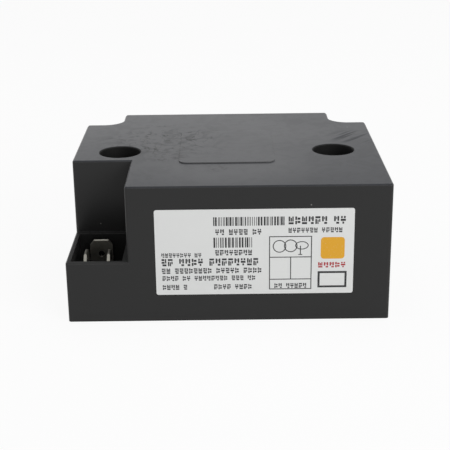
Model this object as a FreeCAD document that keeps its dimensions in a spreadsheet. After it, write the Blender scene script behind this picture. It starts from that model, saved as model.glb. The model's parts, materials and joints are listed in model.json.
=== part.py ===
import FreeCAD, Part
import math
import operator
import os
from types import SimpleNamespace

import Sketcher
from FreeCAD import Vector

# Ignition transformer: a potted plastic case with two high-voltage sockets and a terminal well.
# Millimetres. X runs along the front face, Y to the back, Z up.
# The origin is the middle of the case's footprint, on the surface that it is screwed down to.

SIZES = {
    # Moulded case
    "case_width": 85.0,
    "case_depth": 74.5,
    "case_height": 37.4,
    "side_wall": 1.8,
    "top_wall": 2.5,
    "case_corner_radius": 0.8,
    "case_edge_bevel": 0.4,
    "logo_field_width": 26.3,
    "logo_field_depth": 32.2,
    "logo_field_height": 0.25,
    "logo_field_radius": 2.5,
    "logo_field_from_front": 20.3,
    # Terminal corner, stepped down to a rim with an open well for the plug
    "step_width": 16.2,
    "step_depth": 23.8,
    "rim_height": 16.75,
    "rim_wall": 1.25,
    "inner_ledge": 1.4,
    "back_ledge": 1.8,
    "well_floor_height": 8.25,
    "well_floor_thickness": 2.0,
    # Fixing points: two wells through the top, and two that break out of the back corners
    "front_screw_from_side": 12.5,
    "front_screw_before_middle": 5.0,
    "rear_screw_from_side": 5.0,
    "rear_screw_from_back": 6.5,
    "screw_well_diameter": 11.4,
    "screw_well_edge_bevel": 0.3,
    "screw_hole_diameter": 5.2,
    "screw_seat_thickness": 5.0,
    "column_wall": 1.8,
    # High-voltage sockets in the back face
    "socket_pitch_share": 0.4,
    "socket_height_share": 0.4225,
    "socket_bore": 9.5,
    "socket_wall": 2.0,
    "socket_depth": 24.0,
    "socket_base": 2.0,
    "socket_lead_in": 0.5,
    # Ribs that the circuit board is pushed against
    "rib_width": 1.4,
    "rib_depth": 1.0,
    "side_rib_behind_column": 6.0,
    # Potting compound, poured in from below
    "resin_recess": 0.8,
    # Rating label
    "label_thickness": 0.12,
    "label_corner_radius": 0.6,
    "label_from_left": 23.6,
    "label_from_right": 9.8,
    "label_from_bottom": 7.55,
    "label_from_top": 6.25,
    # Blade terminals
    "tab_width": 6.3,
    "tab_thickness": 0.8,
    "tab_tip_inset": 1.25,
    "tab_tip_slope": 1.6,
    "tab_tip_bevel": 0.2,
    "tab_hole_diameter": 1.65,
    "tab_hole_from_tip": 4.1,
    "tab_below_rim": 0.5,
    "tab_leg_width": 1.3,
    "tab_slot_clearance": 0.1,
    "side_tab_from_front": 6.3,
    "side_tab_from_left": 4.4,
    "side_tab_pitch": 6.2,
    "earth_tab_from_front": 18.8,
    # High-voltage pins
    "pin_diameter": 4.0,
    "pin_exposed": 12.0,
    "pin_tip_bevel": 1.0,
    "pin_root_diameter": 4.6,
    "pin_clearance": 0.05,
    "pin_flange_diameter": 6.4,
    "pin_flange_thickness": 1.0,
    "pin_tail_diameter": 2.4,
    "pin_tail_length": 2.0,
    # Room that the circuit is laid out for: length and depth of the cavity, height over the board
    "layout_length": 81.4,
    "layout_depth": 58.2,
    "layout_height": 30.3,
    # Circuit board
    "board_height": 3.0,
    "board_thickness": 1.6,
    "board_clearance": 0.5,
    "board_column_clearance": 0.4,
    "lead_size": 0.7,
    "lead_stub": 1.0,
    "part_wall_gap": 1.3,
    "part_gap": 1.2,
    # Ferrite core, two halves with square legs
    "core_leg_width": 8.0,
    "core_yoke_thickness": 7.0,
    "core_return_thickness": 7.0,
    "core_gap": 0.4,
    "core_edge_radius": 0.8,
    "core_end_gap": 2.0,
    "coil_wall_gap": 0.95,
    # Primary former and its windings
    "former_leg_clearance": 0.2,
    "former_wall": 0.7,
    "former_end_thickness": 1.0,
    "former_end_width": 12.0,
    "former_end_clearance": 0.2,
    "primary_build": 1.0,
    "primary_corner_radius": 1.2,
    "wire_exit": 1.6,
    "feedback_width": 3.4,
    "winding_gap": 0.5,
    "wire_spread": 4.0,
    # High-voltage former with its chambers
    "chamber_former_clearance": 0.2,
    "chamber_former_wall": 1.0,
    "chamber_flange_thickness": 1.0,
    "chamber_flange_width": 21.0,
    "chamber_count": 6.0,
    "winding_build": 2.5,
    "winding_corner_radius": 2.0,
    "winding_end_diameter": 1.0,
    "crossover_width": 1.5,
    "flange_return_gap": 0.5,
    "lead_diameter": 1.6,
    # Supply filter
    "fuse_diameter": 8.5,
    "fuse_length": 8.0,
    "varistor_diameter": 9.0,
    "varistor_thickness": 4.4,
    "suppression_capacitor_length": 13.0,
    "suppression_capacitor_thickness": 6.0,
    "suppression_capacitor_height": 12.0,
    "two_lead_pitch": 5.0,
    "choke_diameter": 10.0,
    "choke_height": 9.2,
    "choke_flange": 1.5,
    "choke_neck_diameter": 4.5,
    "choke_winding_inset": 0.6,
    # Rectifier and oscillator
    "bridge_diameter": 9.0,
    "bridge_height": 5.5,
    "bridge_pitch": 5.08,
    "reservoir_thickness": 10.0,
    "reservoir_height": 16.0,
    "reservoir_tube_gap": 1.25,
    "middle_row_inset": 4.0,
    "resonance_capacitor_length": 18.0,
    "resonance_capacitor_thickness": 10.0,
    "resonance_capacitor_height": 16.0,
    "film_lead_inset": 1.5,
    "moulding_bevel": 0.6,
    "resistor_diameter": 3.5,
    "resistor_length": 9.0,
    "resistor_pitch": 12.5,
    "diode_diameter": 2.7,
    "diode_length": 5.2,
    "diode_pitch": 10.0,
    "axial_lift": 0.4,
    "driver_diameter": 4.8,
    "driver_flat_depth": 1.2,
    "driver_height": 4.8,
    "driver_lead_pitch": 1.27,
    # Power transistor on its heat sink
    "transistor_width": 10.0,
    "transistor_body_height": 9.0,
    "transistor_thickness": 4.4,
    "transistor_tab_height": 15.6,
    "transistor_tab_thickness": 1.3,
    "transistor_hole_diameter": 3.6,
    "transistor_hole_from_top": 2.8,
    "transistor_lift": 3.0,
    "transistor_leg_pitch": 2.54,
    "heat_sink_tube_gap": 1.65,
    "heat_sink_depth": 9.5,
    "heat_sink_wall": 1.5,
    "heat_sink_height": 22.0,
    "screw_diameter": 3.0,
    "screw_head_diameter": 5.6,
    "screw_head_height": 2.2,
    "screw_point": 0.8,
    "insulating_pad_thickness": 0.3,
    "insulating_pad_margin": 1.0,
    "bush_collar_thickness": 0.8,
    "nut_width": 5.5,
    "nut_height": 2.4,
}

# Inner sizes that give way with the room: along X, along Y, upwards, and round or square sections
# that follow the tighter of two or three of these
FOLLOWERS = {
    "x": (
        "core_yoke_thickness", "former_end_thickness", "wire_exit", "feedback_width",
        "chamber_flange_thickness", "suppression_capacitor_length", "middle_row_inset",
        "resonance_capacitor_thickness", "resistor_length", "resistor_pitch", "diode_length",
        "diode_pitch", "driver_lead_pitch", "transistor_width", "transistor_leg_pitch",
    ),
    "y": (
        "suppression_capacitor_thickness", "reservoir_thickness", "resonance_capacitor_length",
        "transistor_thickness", "transistor_tab_thickness", "heat_sink_depth",
    ),
    "z": (
        "fuse_length", "suppression_capacitor_height", "choke_height", "choke_flange",
        "bridge_height", "reservoir_height", "resonance_capacitor_height", "driver_height",
        "transistor_body_height", "transistor_tab_height", "transistor_hole_from_top",
        "transistor_lift", "heat_sink_height",
    ),
    "xy": (
        "fuse_diameter", "two_lead_pitch", "choke_diameter", "choke_neck_diameter",
        "choke_winding_inset", "bridge_diameter", "bridge_pitch", "driver_diameter",
        "driver_flat_depth",
    ),
    "yz": (
        "core_leg_width", "core_return_thickness", "core_edge_radius", "former_wall",
        "former_end_width", "primary_build", "primary_corner_radius", "chamber_former_wall",
        "chamber_flange_width", "winding_build", "winding_corner_radius", "flange_return_gap",
        "resistor_diameter", "diode_diameter",
    ),
    "xyz": ("varistor_diameter", "varistor_thickness"),
}

OVERRUN = 1.0
EMBED = 0.5
TOLERANCE = 1e-4


class Size:
    """A length: its value now, and the sheet formula that keeps it up to date."""

    def __init__(self, value, formula):
        self.value = value
        self.formula = formula

    def combine(self, other, sign, reverse=False):
        first, second = (as_size(other), self) if reverse else (self, as_size(other))
        value = OPERATIONS[sign](first.value, second.value)
        return Size(value, f"({first.formula} {sign} {second.formula})")

    def __add__(self, other):
        return self.combine(other, "+")

    def __radd__(self, other):
        return self.combine(other, "+", reverse=True)

    def __sub__(self, other):
        return self.combine(other, "-")

    def __rsub__(self, other):
        return self.combine(other, "-", reverse=True)

    def __mul__(self, other):
        return self.combine(other, "*")

    def __rmul__(self, other):
        return self.combine(other, "*", reverse=True)

    def __truediv__(self, other):
        return self.combine(other, "/")

    def __neg__(self):
        return self.combine(-1, "*")

    def __float__(self):
        return float(self.value)


OPERATIONS = {
    "+": operator.add,
    "-": operator.sub,
    "*": operator.mul,
    "/": operator.truediv,
}


def as_size(number):
    return number if isinstance(number, Size) else Size(number, f"({number})")


def smallest(sizes):
    """The least of some sizes, also after one of them changes."""
    formula = "; ".join(item.formula for item in sizes)
    return Size(min(item.value for item in sizes), f"min({formula})")


def bind(target, path, size):
    """Drive one property of a document object from the sheet."""
    target.setExpression(path, as_size(size).formula)


def fill_sheet(doc):
    """Write the driving sizes to a spreadsheet and return them by name."""
    sheet = doc.addObject("Spreadsheet::Sheet", "sizes")
    named = {}
    for row, (name, value) in enumerate(SIZES.items(), 1):
        sheet.set(f"A{row}", name)
        sheet.set(f"B{row}", str(value))
        sheet.setAlias(f"B{row}", name)
        named[name] = Size(value, f"sizes.{name}")
    doc.recompute()
    return SimpleNamespace(**named)


# Sketches

def new_body(doc, name, x=0, y=0, z=0):
    """Start a sub-part at its place in the case."""
    body = doc.addObject("PartDesign::Body", name)
    body.Label = name
    bind(body, "Placement.Base.x", x)
    bind(body, "Placement.Base.y", y)
    bind(body, "Placement.Base.z", z)
    return body


def origin_feature(body, role):
    return next(item for item in body.Origin.OriginFeatures if item.Role == role)


def new_sketch(body, name, plane="XY_Plane", at=0):
    """Start a sketch on one of the body's own planes, moved along the plane's world axis."""
    sketch = body.newObject("Sketcher::SketchObject", name)
    sketch.AttachmentSupport = [(origin_feature(body, plane), "")]
    sketch.MapMode = "FlatFace"
    offset = -as_size(at) if plane == "XZ_Plane" else as_size(at)
    bind(sketch, "AttachmentOffset.Base.z", offset)
    return sketch


def constrain(sketch, kind, *parts):
    """Add a constraint; a last item that is a size drives it from the sheet."""
    size = parts[-1] if isinstance(parts[-1], Size) else None
    values = parts[:-1] + (float(size),) if size else parts
    index = sketch.addConstraint(Sketcher.Constraint(kind, *values))
    if size:
        bind(sketch, f"Constraints[{index}]", size)


def locate(sketch, element, point, x, y):
    """Hold a point of an element at x, y from the sketch's origin."""
    constrain(sketch, "DistanceX", -1, 1, element, point, as_size(x))
    constrain(sketch, "DistanceY", -1, 1, element, point, as_size(y))


def circle(sketch, x, y, diameter):
    shape = Part.Circle(Vector(float(x), float(y), 0), Vector(0, 0, 1), float(diameter) / 2)
    element = sketch.addGeometry(shape, False)
    constrain(sketch, "Diameter", element, as_size(diameter))
    locate(sketch, element, 3, x, y)


def polygon(sketch, corners):
    """Draw a closed outline of straight lines with every corner held in place."""
    first = sketch.GeometryCount
    count = len(corners)
    points = [Vector(float(x), float(y), 0) for x, y in corners]
    for index in range(count):
        line = Part.LineSegment(points[index], points[(index + 1) % count])
        sketch.addGeometry(line, False)
    for index, (x, y) in enumerate(corners):
        constrain(sketch, "Coincident", first + index, 2, first + (index + 1) % count, 1)
        locate(sketch, first + index, 1, x, y)


def square_outline(sketch, corners):
    """Draw a closed outline of level and upright lines, with an arc where a corner has a radius."""
    count = len(corners)
    points = [Vector(float(x), float(y), 0) for x, y, radius in corners]
    radii = [float(radius) if radius else 0.0 for x, y, radius in corners]
    heading = [(points[(n + 1) % count] - points[n]).normalize() for n in range(count)]
    lines = []
    for n in range(count):
        start = points[n] + heading[n] * radii[n]
        end = points[(n + 1) % count] - heading[n] * radii[(n + 1) % count]
        lines.append(sketch.addGeometry(Part.LineSegment(start, end), False))
    for n, (x, y, radius) in enumerate(corners):
        before, after = heading[n - 1], heading[n]
        if radius:
            centre = points[n] + (after - before) * radii[n]
            left_turn = before.cross(after).z > 0
            first = points[n] - before * radii[n] if left_turn else points[n] + after * radii[n]
            start_angle = math.atan2(first.y - centre.y, first.x - centre.x)
            ring = Part.Circle(centre, Vector(0, 0, 1), radii[n])
            arc = Part.ArcOfCircle(ring, start_angle, start_angle + math.pi / 2)
            element = sketch.addGeometry(arc, False)
            constrain(sketch, "Tangent", lines[n - 1], 2, element, 1 if left_turn else 2)
            constrain(sketch, "Tangent", lines[n], 1, element, 2 if left_turn else 1)
            constrain(sketch, "Radius", element, as_size(radius))
        else:
            constrain(sketch, "Coincident", lines[n - 1], 2, lines[n], 1)
        if abs(after.x) > abs(after.y):
            constrain(sketch, "Horizontal", lines[n])
            constrain(sketch, "DistanceY", -1, 1, lines[n], 1, as_size(y))
        else:
            constrain(sketch, "Vertical", lines[n])
            constrain(sketch, "DistanceX", -1, 1, lines[n], 1, as_size(x))


def rectangle(sketch, left, right, low, high, radius=None):
    corners = [(left, low), (right, low), (right, high), (left, high)]
    square_outline(sketch, [(x, y, radius) for x, y in corners])


def centred_rectangle(sketch, x, y, width, height, radius=None):
    x, y, width, height = [as_size(number) for number in (x, y, width, height)]
    rectangle(sketch, x - width / 2, x + width / 2, y - height / 2, y + height / 2, radius)


# Features

def pad(body, sketch, length, name, centred=False, backwards=False):
    feature = body.newObject("PartDesign::Pad", name)
    feature.Profile = sketch
    feature.SideType = "Symmetric" if centred else "One side"
    feature.Reversed = backwards
    bind(feature, "Length", length)
    return feature


def pocket(body, sketch, length, name, along_normal=False, centred=False):
    """Cut away material, and make sure that the cut met some."""
    body.Document.recompute()
    before = body.Shape.Volume
    feature = body.newObject("PartDesign::Pocket", name)
    feature.Profile = sketch
    feature.SideType = "Symmetric" if centred else "One side"
    feature.Reversed = along_normal
    bind(feature, "Length", length)
    body.Document.recompute()
    if body.Shape.Volume > before - TOLERANCE:
        raise RuntimeError(f"{name} cuts nothing from {body.Label}")
    return feature


def dress(body, kind, size_name, size, chosen, name):
    """Round or bevel the edges that chosen() picks."""
    body.Document.recompute()
    base = body.Tip
    edges = [f"Edge{n}" for n, edge in enumerate(base.Shape.Edges, 1) if chosen(edge.BoundBox)]
    if not edges:
        raise RuntimeError(f"{name} finds no edge on {body.Label}")
    feature = body.newObject(kind, name)
    feature.Base = (base, edges)
    bind(feature, size_name, size)
    return feature


def fillet(body, radius, chosen, name):
    return dress(body, "PartDesign::Fillet", "Radius", radius, chosen, name)


def chamfer(body, size, chosen, name):
    return dress(body, "PartDesign::Chamfer", "Size", size, chosen, name)


def same(first, second):
    return abs(float(first) - float(second)) < TOLERANCE


def is_upright(box):
    return box.XLength < TOLERANCE and box.YLength < TOLERANCE


def is_level_at(box, height):
    return same(box.ZMin, height) and same(box.ZMax, height)


def leads(body, size, places):
    """Add square leads that reach down from the body's underside through the board."""
    sketch = new_sketch(body, "lead_ends")
    for x, y in places:
        centred_rectangle(sketch, x, y, size.lead_size, size.lead_size)
    length = size.board_thickness + size.lead_stub
    pad(body, sketch, length, "leads", backwards=True)


# Places that several sub-parts share

def add_places(size):
    """Work out the planes and centres that the sub-parts line up with."""
    place = SimpleNamespace()
    place.left = -size.case_width / 2
    place.right = size.case_width / 2
    place.front = -size.case_depth / 2
    place.back = size.case_depth / 2
    place.wall_left = place.left + size.side_wall
    place.wall_right = place.right - size.side_wall
    place.wall_front = place.front + size.side_wall
    place.wall_back = place.back - size.side_wall
    place.roof = size.case_height - size.top_wall
    place.step_right = place.left + size.step_width
    place.step_back = place.front + size.step_depth
    place.front_screw_x = place.right - size.front_screw_from_side
    place.front_screw_y = -size.front_screw_before_middle
    place.rear_screw_x = place.right - size.rear_screw_from_side
    place.rear_screw_y = place.back - size.rear_screw_from_back
    place.notch_x = place.rear_screw_x - size.screw_well_diameter / 2
    place.notch_y = place.rear_screw_y - size.screw_well_diameter / 2
    place.column_diameter = size.screw_well_diameter + size.column_wall * 2
    place.socket_x = size.case_width * size.socket_pitch_share / 2
    place.socket_z = size.case_height * size.socket_height_share
    place.socket_diameter = size.socket_bore + size.socket_wall * 2
    place.socket_floor = place.back - size.socket_depth
    place.socket_end = place.socket_floor - size.socket_base
    place.board_top = size.board_height + size.board_thickness
    place.board_back = place.notch_y - size.side_wall - size.board_clearance
    place.tab_tip = size.rim_height - size.tab_below_rim
    place.side_tab_x = place.left + size.side_tab_from_left
    place.side_tab_y = place.front + size.side_tab_from_front + size.tab_width / 2
    place.earth_tab_x = place.side_tab_x + size.side_tab_pitch / 2
    place.earth_tab_y = place.front + size.earth_tab_from_front
    follow_the_room(size, place)
    add_coil_places(size, place)
    add_component_places(size, place)
    return place


def follow_the_room(size, place):
    """Shrink or stretch the inner sizes by the room that the case leaves them."""
    room = {
        "x": (place.wall_right - place.wall_left) / size.layout_length,
        "y": (place.board_back - place.wall_front) / size.layout_depth,
        "z": (place.roof - place.board_top) / size.layout_height,
    }
    for directions, names in FOLLOWERS.items():
        factor = smallest([room[direction] for direction in directions])
        for name in names:
            setattr(size, name, getattr(size, name) * factor)


def add_coil_places(size, place):
    """The transformer fills the room from the terminal step to the resonance capacitor."""
    capacitor_left = (place.wall_right - size.part_wall_gap
                      - size.resonance_capacitor_thickness)
    place.core_left = place.step_right + size.side_wall + size.core_end_gap
    place.core_right = capacitor_left - size.part_gap
    place.coil_x = (place.core_left + place.core_right) / 2
    place.coil_y = (place.wall_front + size.coil_wall_gap
                    + size.chamber_flange_width / 2)
    place.coil_z = place.socket_z
    place.core_length = place.core_right - place.core_left
    place.window_length = place.core_length - size.core_yoke_thickness * 2
    place.return_low = size.chamber_flange_width / 2 + size.flange_return_gap
    place.former_length = place.window_length - size.former_end_clearance * 2
    place.former_bore = size.core_leg_width + size.former_leg_clearance * 2
    place.former_width = place.former_bore + size.former_wall * 2
    place.primary_width = place.former_width + size.primary_build * 2
    place.chamber_bore = place.primary_width + size.chamber_former_clearance * 2
    place.chamber_core_width = place.chamber_bore + size.chamber_former_wall * 2
    place.winding_width = place.chamber_core_width + size.winding_build * 2
    place.winding_zone = place.former_length - size.former_end_thickness * 2
    place.chamber_length = place.winding_zone - size.wire_exit * 2
    place.chamber_pitch = ((place.chamber_length - size.chamber_flange_thickness)
                           / size.chamber_count)
    place.end_chamber = (place.chamber_length - size.chamber_flange_thickness
                         - place.chamber_pitch) / 2


def add_component_places(size, place):
    """Rows of components, each set from its neighbour or from the wall beside it."""
    place.filter_left = place.wall_left + size.part_wall_gap
    place.rear_row_back = place.board_back - size.part_gap / 2
    place.suppressor_x = place.filter_left + size.suppression_capacitor_length / 2
    place.suppressor_y = place.rear_row_back - size.suppression_capacitor_thickness / 2
    place.fuse_x = place.filter_left + size.fuse_diameter / 2
    place.fuse_y = (place.suppressor_y - size.suppression_capacitor_thickness / 2
                    - size.part_gap - size.fuse_diameter / 2)
    place.varistor_x = (place.fuse_x + size.fuse_diameter / 2 + size.part_gap
                        + size.varistor_thickness / 2)
    place.coil_back = place.coil_y + size.chamber_flange_width / 2
    place.axial_y = place.coil_back + size.part_gap + size.resistor_diameter / 2
    place.middle_y = (place.axial_y + size.resistor_diameter / 2 + size.part_gap
                      + size.choke_diameter / 2)
    place.choke_x = (place.column_diameter / 2 - place.front_screw_x
                     + size.middle_row_inset + size.choke_diameter / 2)
    place.bridge_x = (place.choke_x + size.choke_diameter / 2 + size.part_gap * 2
                      + size.bridge_diameter / 2)
    place.driver_x = (place.bridge_x + size.bridge_diameter / 2 + size.part_gap * 2
                      + size.driver_diameter / 2)
    place.sink_right = place.wall_right - size.part_wall_gap
    place.sink_left = place.socket_x + place.socket_diameter / 2 + size.heat_sink_tube_gap
    place.sink_x = (place.sink_left + place.sink_right) / 2
    place.transistor_y = (place.front_screw_y + place.column_diameter / 2 + size.part_gap
                          + size.transistor_thickness)
    place.sink_y = place.transistor_y + size.insulating_pad_thickness
    place.clamp_z = (size.transistor_lift + size.transistor_tab_height
                     - size.transistor_hole_from_top)


# Outlines that the case, its filling and its openings have in common

def cavity_outline(sketch, size, place):
    """Inside of the case above the well floor: it follows the step and the back corners."""
    bend = size.screw_well_diameter / 2 + size.side_wall
    inner_x = place.notch_x - size.side_wall
    inner_y = place.notch_y - size.side_wall
    step_x = place.step_right + size.side_wall
    step_y = place.step_back + size.side_wall
    square_outline(sketch, [
        (step_x, place.wall_front, None),
        (place.wall_right, place.wall_front, None),
        (place.wall_right, inner_y, None),
        (inner_x, inner_y, bend),
        (inner_x, place.wall_back, None),
        (-inner_x, place.wall_back, None),
        (-inner_x, inner_y, bend),
        (place.wall_left, inner_y, None),
        (place.wall_left, step_y, None),
        (step_x, step_y, None),
    ])


def low_cavity_outline(sketch, size, place):
    """The part of the cavity that reaches under the well floor."""
    rectangle(sketch, place.wall_left, place.step_right + size.side_wall,
              place.wall_front, place.step_back + size.side_wall)


def column_circles(sketch, place, diameter):
    for side in (-1, 1):
        circle(sketch, place.front_screw_x * side, place.front_screw_y, diameter)


def socket_circles(sketch, place, diameter):
    for side in (-1, 1):
        circle(sketch, place.socket_x * side, place.socket_z, diameter)


def rib_outlines(sketch, size, place):
    """Two ribs on the front wall in line with the core's yokes, and one on each side wall."""
    for x in (place.core_left + size.core_yoke_thickness / 2,
              place.core_right - size.core_yoke_thickness / 2):
        rectangle(sketch, x - size.rib_width / 2, x + size.rib_width / 2,
                  place.wall_front, place.wall_front + size.rib_depth)
    rib_y = place.front_screw_y + size.side_rib_behind_column
    for outer, inner in ((place.wall_left, place.wall_left + size.rib_depth),
                         (place.wall_right - size.rib_depth, place.wall_right)):
        rectangle(sketch, outer, inner, rib_y - size.rib_width / 2, rib_y + size.rib_width / 2)


# Case

def make_housing(doc, size, place):
    body = new_body(doc, "housing")
    outline = new_sketch(body, "footprint")
    centred_rectangle(outline, 0, 0, size.case_width, size.case_depth)
    pad(body, outline, size.case_height, "block")

    step = new_sketch(body, "terminal_step", at=size.rim_height)
    rectangle(step, place.left - OVERRUN, place.step_right, place.front - OVERRUN, place.step_back)
    pocket(body, step, size.case_height, "step_cut", along_normal=True)

    notches = new_sketch(body, "back_corners", at=size.screw_seat_thickness)
    well_radius = size.screw_well_diameter / 2
    square_outline(notches, [
        (place.notch_x, place.back + OVERRUN, None),
        (place.notch_x, place.notch_y, well_radius),
        (place.right + OVERRUN, place.notch_y, None),
        (place.right + OVERRUN, place.back + OVERRUN, None),
    ])
    notch_cut = pocket(body, notches, size.case_height, "back_corner_cut", along_normal=True)
    mirrored = body.newObject("PartDesign::Mirrored", "both_back_corners")
    mirrored.Originals = [notch_cut]
    mirrored.MirrorPlane = (origin_feature(body, "YZ_Plane"), [""])
    body.Tip = mirrored

    def is_outer_corner(box):
        on_side = same(abs(box.XMin), place.right)
        on_end = same(abs(box.YMin), place.back)
        return is_upright(box) and (on_side or on_end)

    def is_top_edge(box):
        on_step = box.XMin < float(place.step_right) - TOLERANCE
        on_step = on_step and box.YMin < float(place.step_back) - TOLERANCE
        foot = same(box.XMin, place.step_right) or same(box.YMin, place.step_back)
        on_rim = is_level_at(box, size.rim_height) and on_step and not foot
        return is_level_at(box, size.case_height) or on_rim

    fillet(body, size.case_corner_radius, is_outer_corner, "corner_rounding")
    chamfer(body, size.case_edge_bevel, is_top_edge, "edge_bevel")

    field = new_sketch(body, "logo_field", at=size.case_height)
    field_y = place.front + size.logo_field_from_front + size.logo_field_depth / 2
    centred_rectangle(field, 0, field_y, size.logo_field_width, size.logo_field_depth,
                      size.logo_field_radius)
    pad(body, field, size.logo_field_height, "raised_field")

    hollow_out_housing(body, size, place)
    add_screw_wells(body, size, place)
    add_sockets(body, size, place)
    add_terminal_well(body, size, place)
    return body


def hollow_out_housing(body, size, place):
    cavity = new_sketch(body, "cavity")
    cavity_outline(cavity, size, place)
    pocket(body, cavity, place.roof, "cavity_cut", along_normal=True)
    low = new_sketch(body, "low_cavity")
    low_cavity_outline(low, size, place)
    low_height = size.well_floor_height - size.well_floor_thickness
    pocket(body, low, low_height, "low_cavity_cut", along_normal=True)
    ribs = new_sketch(body, "ribs", at=place.board_top)
    rib_outlines(ribs, size, place)
    pad(body, ribs, place.roof - place.board_top + EMBED, "board_ribs")


def add_screw_wells(body, size, place):
    columns = new_sketch(body, "columns")
    column_circles(columns, place, place.column_diameter)
    pad(body, columns, place.roof + EMBED, "screw_columns")
    wells = new_sketch(body, "screw_wells", at=size.screw_seat_thickness)
    column_circles(wells, place, size.screw_well_diameter)
    pocket(body, wells, size.case_height, "screw_well_cut", along_normal=True)
    holes = new_sketch(body, "screw_holes")
    column_circles(holes, place, size.screw_hole_diameter)
    for side in (-1, 1):
        circle(holes, place.rear_screw_x * side, place.rear_screw_y, size.screw_hole_diameter)
    pocket(body, holes, size.screw_seat_thickness + OVERRUN, "screw_hole_cut", along_normal=True)

    def is_well_mouth(box):
        return is_level_at(box, size.case_height) and same(box.XLength, size.screw_well_diameter)

    chamfer(body, size.screw_well_edge_bevel, is_well_mouth, "well_mouth_bevel")


def add_sockets(body, size, place):
    tubes = new_sketch(body, "socket_tubes", "XZ_Plane", place.socket_end)
    socket_circles(tubes, place, place.socket_diameter)
    tube_length = place.wall_back + EMBED - place.socket_end
    pad(body, tubes, tube_length, "sockets", backwards=True)
    bores = new_sketch(body, "socket_bores", "XZ_Plane", place.back)
    socket_circles(bores, place, size.socket_bore)
    pocket(body, bores, size.socket_depth, "socket_bore_cut", along_normal=True)
    pins = new_sketch(body, "pin_holes", "XZ_Plane", place.socket_floor)
    socket_circles(pins, place, size.pin_root_diameter + size.pin_clearance * 2)
    pocket(body, pins, size.socket_base + OVERRUN, "pin_hole_cut", along_normal=True)

    def is_socket_mouth(box):
        at_back = same(box.YMin, place.back) and same(box.YMax, place.back)
        return at_back and same(box.XLength, size.socket_bore)

    chamfer(body, size.socket_lead_in, is_socket_mouth, "socket_lead_in")


def add_terminal_well(body, size, place):
    mouth = new_sketch(body, "well_mouth", at=size.rim_height)
    rectangle(mouth, place.left + size.rim_wall, place.step_right - size.inner_ledge,
              place.front + size.rim_wall, place.step_back - size.back_ledge)
    pocket(body, mouth, size.rim_height - size.well_floor_height, "well_cut")
    slots = new_sketch(body, "tab_slots", at=size.well_floor_height)
    across = size.tab_thickness + size.tab_slot_clearance * 2
    along = size.tab_width + size.tab_slot_clearance * 2
    for x in (place.side_tab_x, place.side_tab_x + size.side_tab_pitch):
        centred_rectangle(slots, x, place.side_tab_y, across, along)
    centred_rectangle(slots, place.earth_tab_x, place.earth_tab_y, along, across)
    pocket(body, slots, size.well_floor_thickness + OVERRUN, "tab_slot_cut")


def make_resin(doc, size, place, embedded):
    """The filling takes up all of the cavity that the pieces inside leave free."""
    block = new_body(doc, "resin_block")
    outline = new_sketch(block, "pour", at=size.resin_recess)
    cavity_outline(outline, size, place)
    pad(block, outline, place.roof - size.resin_recess, "pour_block")
    low = new_sketch(block, "low_pour", at=size.resin_recess)
    low_cavity_outline(low, size, place)
    low_height = size.well_floor_height - size.well_floor_thickness - size.resin_recess
    pad(block, low, low_height, "low_pour_block")
    columns = new_sketch(block, "columns")
    column_circles(columns, place, place.column_diameter)
    pocket(block, columns, size.case_height, "column_space", along_normal=True)
    tubes = new_sketch(block, "socket_tubes", "XZ_Plane", place.socket_end)
    socket_circles(tubes, place, place.socket_diameter)
    tube_length = size.socket_depth + size.socket_base
    pocket(block, tubes, tube_length, "socket_space")
    ribs = new_sketch(block, "ribs", at=place.board_top)
    rib_outlines(ribs, size, place)
    pocket(block, ribs, place.roof, "rib_space", along_normal=True)

    inside = doc.addObject("Part::MultiFuse", "pieces_inside")
    inside.Shapes = embedded
    resin = doc.addObject("Part::Cut", "potting_resin")
    resin.Label = "potting_resin"
    resin.Base = block
    resin.Tool = inside
    return resin


def make_label(doc, size, place):
    left = place.left + size.label_from_left
    body = new_body(doc, "rating_label", left, place.front, size.label_from_bottom)
    outline = new_sketch(body, "outline", "XZ_Plane")
    width = size.case_width - size.label_from_left - size.label_from_right
    height = size.case_height - size.label_from_bottom - size.label_from_top
    rectangle(outline, 0, width, 0, height, size.label_corner_radius)
    pad(body, outline, size.label_thickness, "sheet")
    return body


# Terminals

def make_tab(doc, size, place, name, x, y, turned):
    """A blade that stands on the board on two legs; turned blades lie along Y."""
    body = new_body(doc, name, x, y, place.board_top)
    profile = new_sketch(body, "blade_outline", "YZ_Plane" if turned else "XZ_Plane")
    half = size.tab_width / 2
    tip = place.tab_tip - place.board_top
    foot = -(size.board_thickness + size.lead_stub)
    crotch = half - size.tab_leg_width
    polygon(profile, [
        (-half, foot),
        (-crotch, foot),
        (-crotch, 0),
        (crotch, 0),
        (crotch, foot),
        (half, foot),
        (half, tip - size.tab_tip_slope),
        (half - size.tab_tip_inset, tip),
        (size.tab_tip_inset - half, tip),
        (-half, tip - size.tab_tip_slope),
    ])
    pad(body, profile, size.tab_thickness, "blade", centred=True)
    hole = new_sketch(body, "detent_hole", "YZ_Plane" if turned else "XZ_Plane")
    circle(hole, 0, tip - size.tab_hole_from_tip, size.tab_hole_diameter)
    pocket(body, hole, size.tab_thickness + OVERRUN, "detent_hole_cut", centred=True)

    def is_tip(box):
        return is_level_at(box, tip) and box.DiagonalLength > float(size.tab_thickness) * 1.5

    chamfer(body, size.tab_tip_bevel, is_tip, "tip_bevel")
    return body


def make_tabs(doc, size, place):
    side_y = place.side_tab_y
    return [
        make_tab(doc, size, place, "line_tab", place.side_tab_x, side_y, True),
        make_tab(doc, size, place, "neutral_tab", place.side_tab_x + size.side_tab_pitch,
                 side_y, True),
        make_tab(doc, size, place, "earth_tab", place.earth_tab_x, place.earth_tab_y, False),
    ]


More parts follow.
